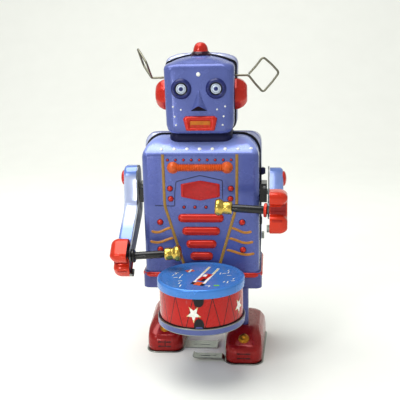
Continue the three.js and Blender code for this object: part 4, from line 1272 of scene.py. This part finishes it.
def build_foot(side, name):
    foot = box(f"{name}_foot_shell")
    shape = Shape()
    loops = []
    for z, toe, heel, half, corner in foot_levels(foot):
        loops.append([(x, y, z) for x, y in foot_plan(foot, toe, heel, half, corner)])
    shape.loft(loops, caps=(False, True))
    piece(f"{name}_foot_cover", shape, f"{name}_leg", [looks["foot"]], [f"{name}_foot_shell"], smooth=50)

    # Bars in the places of the small dark marks under the studs, which are too small to read.
    marks = Shape()
    toe = foot.low.y - 0.02
    for up in (6.6, 3.4):
        for start, end, half in ((-4.4, -2.6, 0.55), (-2.6, 1.8, 0.3), (1.8, 4.4, 0.5)):
            line = [(foot.mid.x + x, toe, foot.low.z + up) for x in spread(start, end, 5)]
            marks.rib(line, half, 0.25, FORWARD)
    if side < 0:
        line = [(foot.mid.x + 0.4, toe + 0.05, foot.low.z + up) for up in spread(3.4, 7.8, 5)]
        marks.rib(line, 0.35, 0.2, FORWARD)
    piece(f"{name}_toe_marks", marks, f"{name}_leg", [looks["foot_mark"]])


def slab(shape, x0, x1, y0, y1, z0, z1, corner, edge=0.25, paint=0):
    """A flat plate with rounded corners and eased edges."""
    loops = []
    for grow, z in ((-edge, z0), (0, z0 + edge), (0, z1 - edge), (-edge, z1)):
        plan = rounded_plan(x0 - grow, x1 + grow, y0 - grow, y1 + grow, corner, 8)
        loops.append([(x, y, z) for x, y in plan])
    shape.loft(loops, paint)


def build_sole(side, name):
    """Steel sole plate with the strip that reaches under the robot's middle."""
    foot, sole = box(f"{name}_foot_shell"), box(f"{name}_sole_plate")
    half = foot.size.x / 2 - FLARE + 0.85
    shape = Shape()
    loops = []
    for grow, z in ((-0.2, 0), (0, 0.2), (0, 0.6), (-0.2, 0.8)):
        plan = foot_plan(foot, sole.low.y - grow, sole.high.y + grow, half + grow, 7)
        loops.append([(x, y, z) for x, y in plan])
    shape.loft(loops)
    front = sole.low.y + (4.5 if side > 0 else 8.5)
    back = front + (8 if side > 0 else 12)
    edge = foot.mid.x - side * half
    tip = sole.low.x if side > 0 else sole.high.x
    low = 2.3 if side > 0 else 0.0
    high = low + 0.7
    line = [(edge + side * 3, 0.75), (edge - side * 0.1, 0.75), (edge - side * 1.8, high),
            (tip + side * 1.6, high),
            (tip + side * 0.2, high + 1.2)]
    if side < 0:
        line = [(edge + side * 3, 0.72), (edge, 0.72), (edge - side, high), (tip + side * 1.6, high),
                (tip + side * 0.2, high + 1.2)]
    upper = rounded(line, [0, 0.5, 0.5, 0.9, 0], 4)
    loops = []
    for offset in (0.0, -0.65):
        loops.append([(p.x, p.y + offset) for p in upper])
    outline = loops[0] + loops[1][::-1]
    strip = [[(x, y, z) for x, z in outline] for y in (front + 0.2, back - 0.2)]
    shape.loft(strip)
    for x0, x1 in ((0.25, 0.55), (0.62, 0.72)):
        a, b = tip + (edge - tip) * x0, tip + (edge - tip) * x1
        path = [(x, (front + back) / 2, high) for x in spread(a, b, 6)]
        shape.rib(path, 1.3, 0.22, Vector((0, 0, 1)))
    piece(f"{name}_sole", shape, f"{name}_leg", [looks["steel"]], [f"{name}_sole_plate"],
          bevel=0.12, smooth=35)


# ------------------------------------------------------------------ seam tabs and small parts

def build_tabs():
    """Bent tabs that hold the shells together along the side seams."""
    shape = Shape()

    def tab(side, z0, z1, out, hook):
        x = side * (BODY.half + 0.1)
        y = BODY.seam
        section = rounded([(0, -0.2), (out, 0.3), (out + hook, 1.6), (out + 0.4 * hook, 3.6)], 0.6, 4)
        rows = []
        for z, share in ((z0, 0.6), (z0 + 0.6, 1), (z1 - 0.6, 1), (z1, 0.6)):
            rows.append([(x + side * p.x * share, y + p.y, z) for p in section])
        shape.grid(rows)

    for z0, z1, out, hook in ((121.5, 126.5, 2.6, 1.4), (86.5, 92.5, 0.9, 0.8)):
        tab(1, z0, z1, out, hook)
        tab(-1, z0, z1, 0.7, 0.4)
    piece("seam_tabs", shape, "torso", [looks["navy"]], wall=0.5)


def build_back_pattern():
    """Plain lithographed panel and rivets on the back, in the manner of the front."""
    behind = BODY.seam + BODY.depth
    backward = Vector((0, 1, 0))
    lines = Shape()
    corners = [(-24, 88), (24, 88), (24, 14), (-24, 14)]
    loop = rounded(corners, 4, 5, closed=True)
    path = [(p.x, behind, BODY.low + p.y) for p in loop + [loop[0]]]
    lines.rib(path, 0.6, 0.4, backward)
    piece("back_gold_line", lines, "torso", [looks["gold"]])
    rivets = Shape()
    for side in (-1, 1):
        for up in (80, 50, 22):
            rivets.dome((side * 29.5, behind, BODY.low + up), backward, 1.7, 1.0, segments=24)
    piece("back_studs", rivets, "torso", [looks["red"]])


def dress_cad_nodes():
    """Procedural finishes and eased edges for the CAD nodes that stay visible."""
    finishes = {
        "steel": ["left_shoulder_shaft", "right_shoulder_shaft", "left_leg_plate", "right_leg_plate",
                  "left_motor_plate", "right_motor_plate", "left_guide_rod", "right_guide_rod",
                  "winding_arbor",
                  "ratchet_wheel", "click", "crankshaft"],
        "dark_steel": ["left_arm_plate", "right_arm_plate"],
        "black": ["left_shoulder_bracket", "right_shoulder_bracket"],
        "brass": ["lower_motor_pillar", "front_motor_pillar", "rear_motor_pillar", "great_wheel",
                  "crank_wheel_and_pinion", "second_wheel_and_arbor", "governor"],
        "spring": ["mainspring"],
        "skirt": ["base_pan"],
        "rim": ["drum_bracket"],
    }
    for look, nodes in finishes.items():
        for node in nodes:
            obj = frame["nodes"][node]
            obj.data.materials.clear()
            obj.data.materials.append(looks[look])
            edge = obj.modifiers.new("edge", "BEVEL")
            edge.width = 0.12 * MM
            edge.segments = 2
            edge.limit_method = "ANGLE"
            edge.angle_limit = math.radians(40)


# ------------------------------------------------------------------ stage

def area_light(name, place, target, size, power, colour=(1, 1, 1)):
    data = bpy.data.lights.new(name, "AREA")
    data.shape = "RECTANGLE"
    data.size, data.size_y = size
    data.energy = power
    data.color = colour
    light = bpy.data.objects.new(name, data)
    light.location = place
    light.rotation_euler = (Vector(target) - Vector(place)).to_track_quat("-Z", "Y").to_euler()
    bpy.context.scene.collection.objects.link(light)


def build_stage():
    """Pale sweep, soft boxes and a near-white surround."""
    shape = Shape()
    profile = rounded([(-1500, 0), (900, 0), (1250, 500), (1250, 1600)], [0, 500, 200, 0], 16)
    shape.grid([[(x, p.x, p.y) for p in profile] for x in spread(-1800, 1800, 7)])
    mesh = bpy.data.meshes.new("sweep")
    mesh.from_pydata([[v * MM for v in p] for p in shape.points], [], shape.faces)
    mesh.shade_smooth()
    nodes = Nodes("paper_sweep")
    fibre = nodes.ramp(nodes.noise(30, 6.0), 0.3, 0.7)
    nodes.bump(nodes.noise(900), 0.02, 0.1)
    paper = nodes.mix(fibre, srgb(243, 244, 237), srgb(245, 246, 239))
    mesh.materials.append(nodes.finish(paper, 0.6, 0.0))
    sweep = bpy.data.objects.new("sweep", mesh)
    bpy.context.scene.collection.objects.link(sweep)

    world = bpy.data.worlds.new("surround")
    world.use_nodes = True
    world.node_tree.nodes["Background"].inputs["Color"].default_value = srgb(238, 240, 240)
    world.node_tree.nodes["Background"].inputs["Strength"].default_value = 0.54
    bpy.context.scene.world = world
    middle = (0, 0, 0.11)
    area_light("top_box", (-0.25, -0.05, 1.0), middle, (0.9, 0.75), 10)
    area_light("front_left_box", (-0.62, -0.85, 0.62), middle, (0.13, 0.22), 2.8)
    area_light("right_fill", (1.1, -0.3, 0.6), middle, (0.6, 0.8), 0.4)
    area_light("wall_wash", (0, 0.5, 0.9), (0, 1.2, 0.3), (1.4, 0.3), 0.8)

    # A strip placed where the front of the lowered upper arm mirrors it into the camera.
    shoulder = joint_place("right_arm_swing")
    glance = Vector((box("right_arm_shell").mid.x, shoulder.y - 7.6, shoulder.z - 3)) * MM
    lean = math.radians(3)
    facing = Vector((0, -math.cos(lean), math.sin(lean)))
    ray = (glance - bpy.context.scene.camera.location).normalized()
    strip_distance = 0.9
    strip_nudge = Vector((-0.015, 0, -0.03))
    place = glance + (ray - 2 * ray.dot(facing) * facing) * strip_distance + strip_nudge
    area_light("arm_strip", place, glance, (0.07, 0.3), 1.2)


def build_camera():
    """Camera fitted to the photograph: a little to the robot's left and above it."""
    azimuth, elevation, roll = (math.radians(degrees) for degrees in (5.3, 13.5, 1.2))
    distance = 0.520
    sensor_width, focal_length = 36, 68.58
    shift_across, shift_up = -0.0095, -0.00325
    target = Vector((0, BODY.seam * MM, 0.105))
    away = Vector((math.sin(azimuth) * math.cos(elevation), -math.cos(azimuth) * math.cos(elevation),
                   math.sin(elevation)))
    data = bpy.data.cameras.new("camera")
    data.sensor_width = sensor_width
    data.lens = focal_length
    data.shift_x = shift_across
    data.shift_y = shift_up
    data.clip_start = 0.01
    camera = bpy.data.objects.new("camera", data)
    turn = (-away).to_track_quat("-Z", "Y").to_matrix().to_4x4()
    camera.matrix_world = (Matrix.Translation(target + away * distance) @ turn
                           @ Matrix.Rotation(-roll, 4, "Z"))
    bpy.context.scene.collection.objects.link(camera)
    bpy.context.scene.camera = camera
    bpy.context.scene.view_settings.view_transform = "Standard"


build_shells()
build_coil()
build_louvres()
build_hexagon()
build_gold_lines()
build_chest_rivets()
build_waist()
build_collar()
build_eyes()
build_nose()
build_mouth()
build_face_rivets()
build_head_top()
build_ears()
build_antennas()
build_drum()
for arm_side, arm_name in SIDES:
    build_arm(arm_side, arm_name)
    build_leg(arm_side, arm_name)
build_tabs()
build_back_pattern()
dress_cad_nodes()
build_camera()
build_stage()
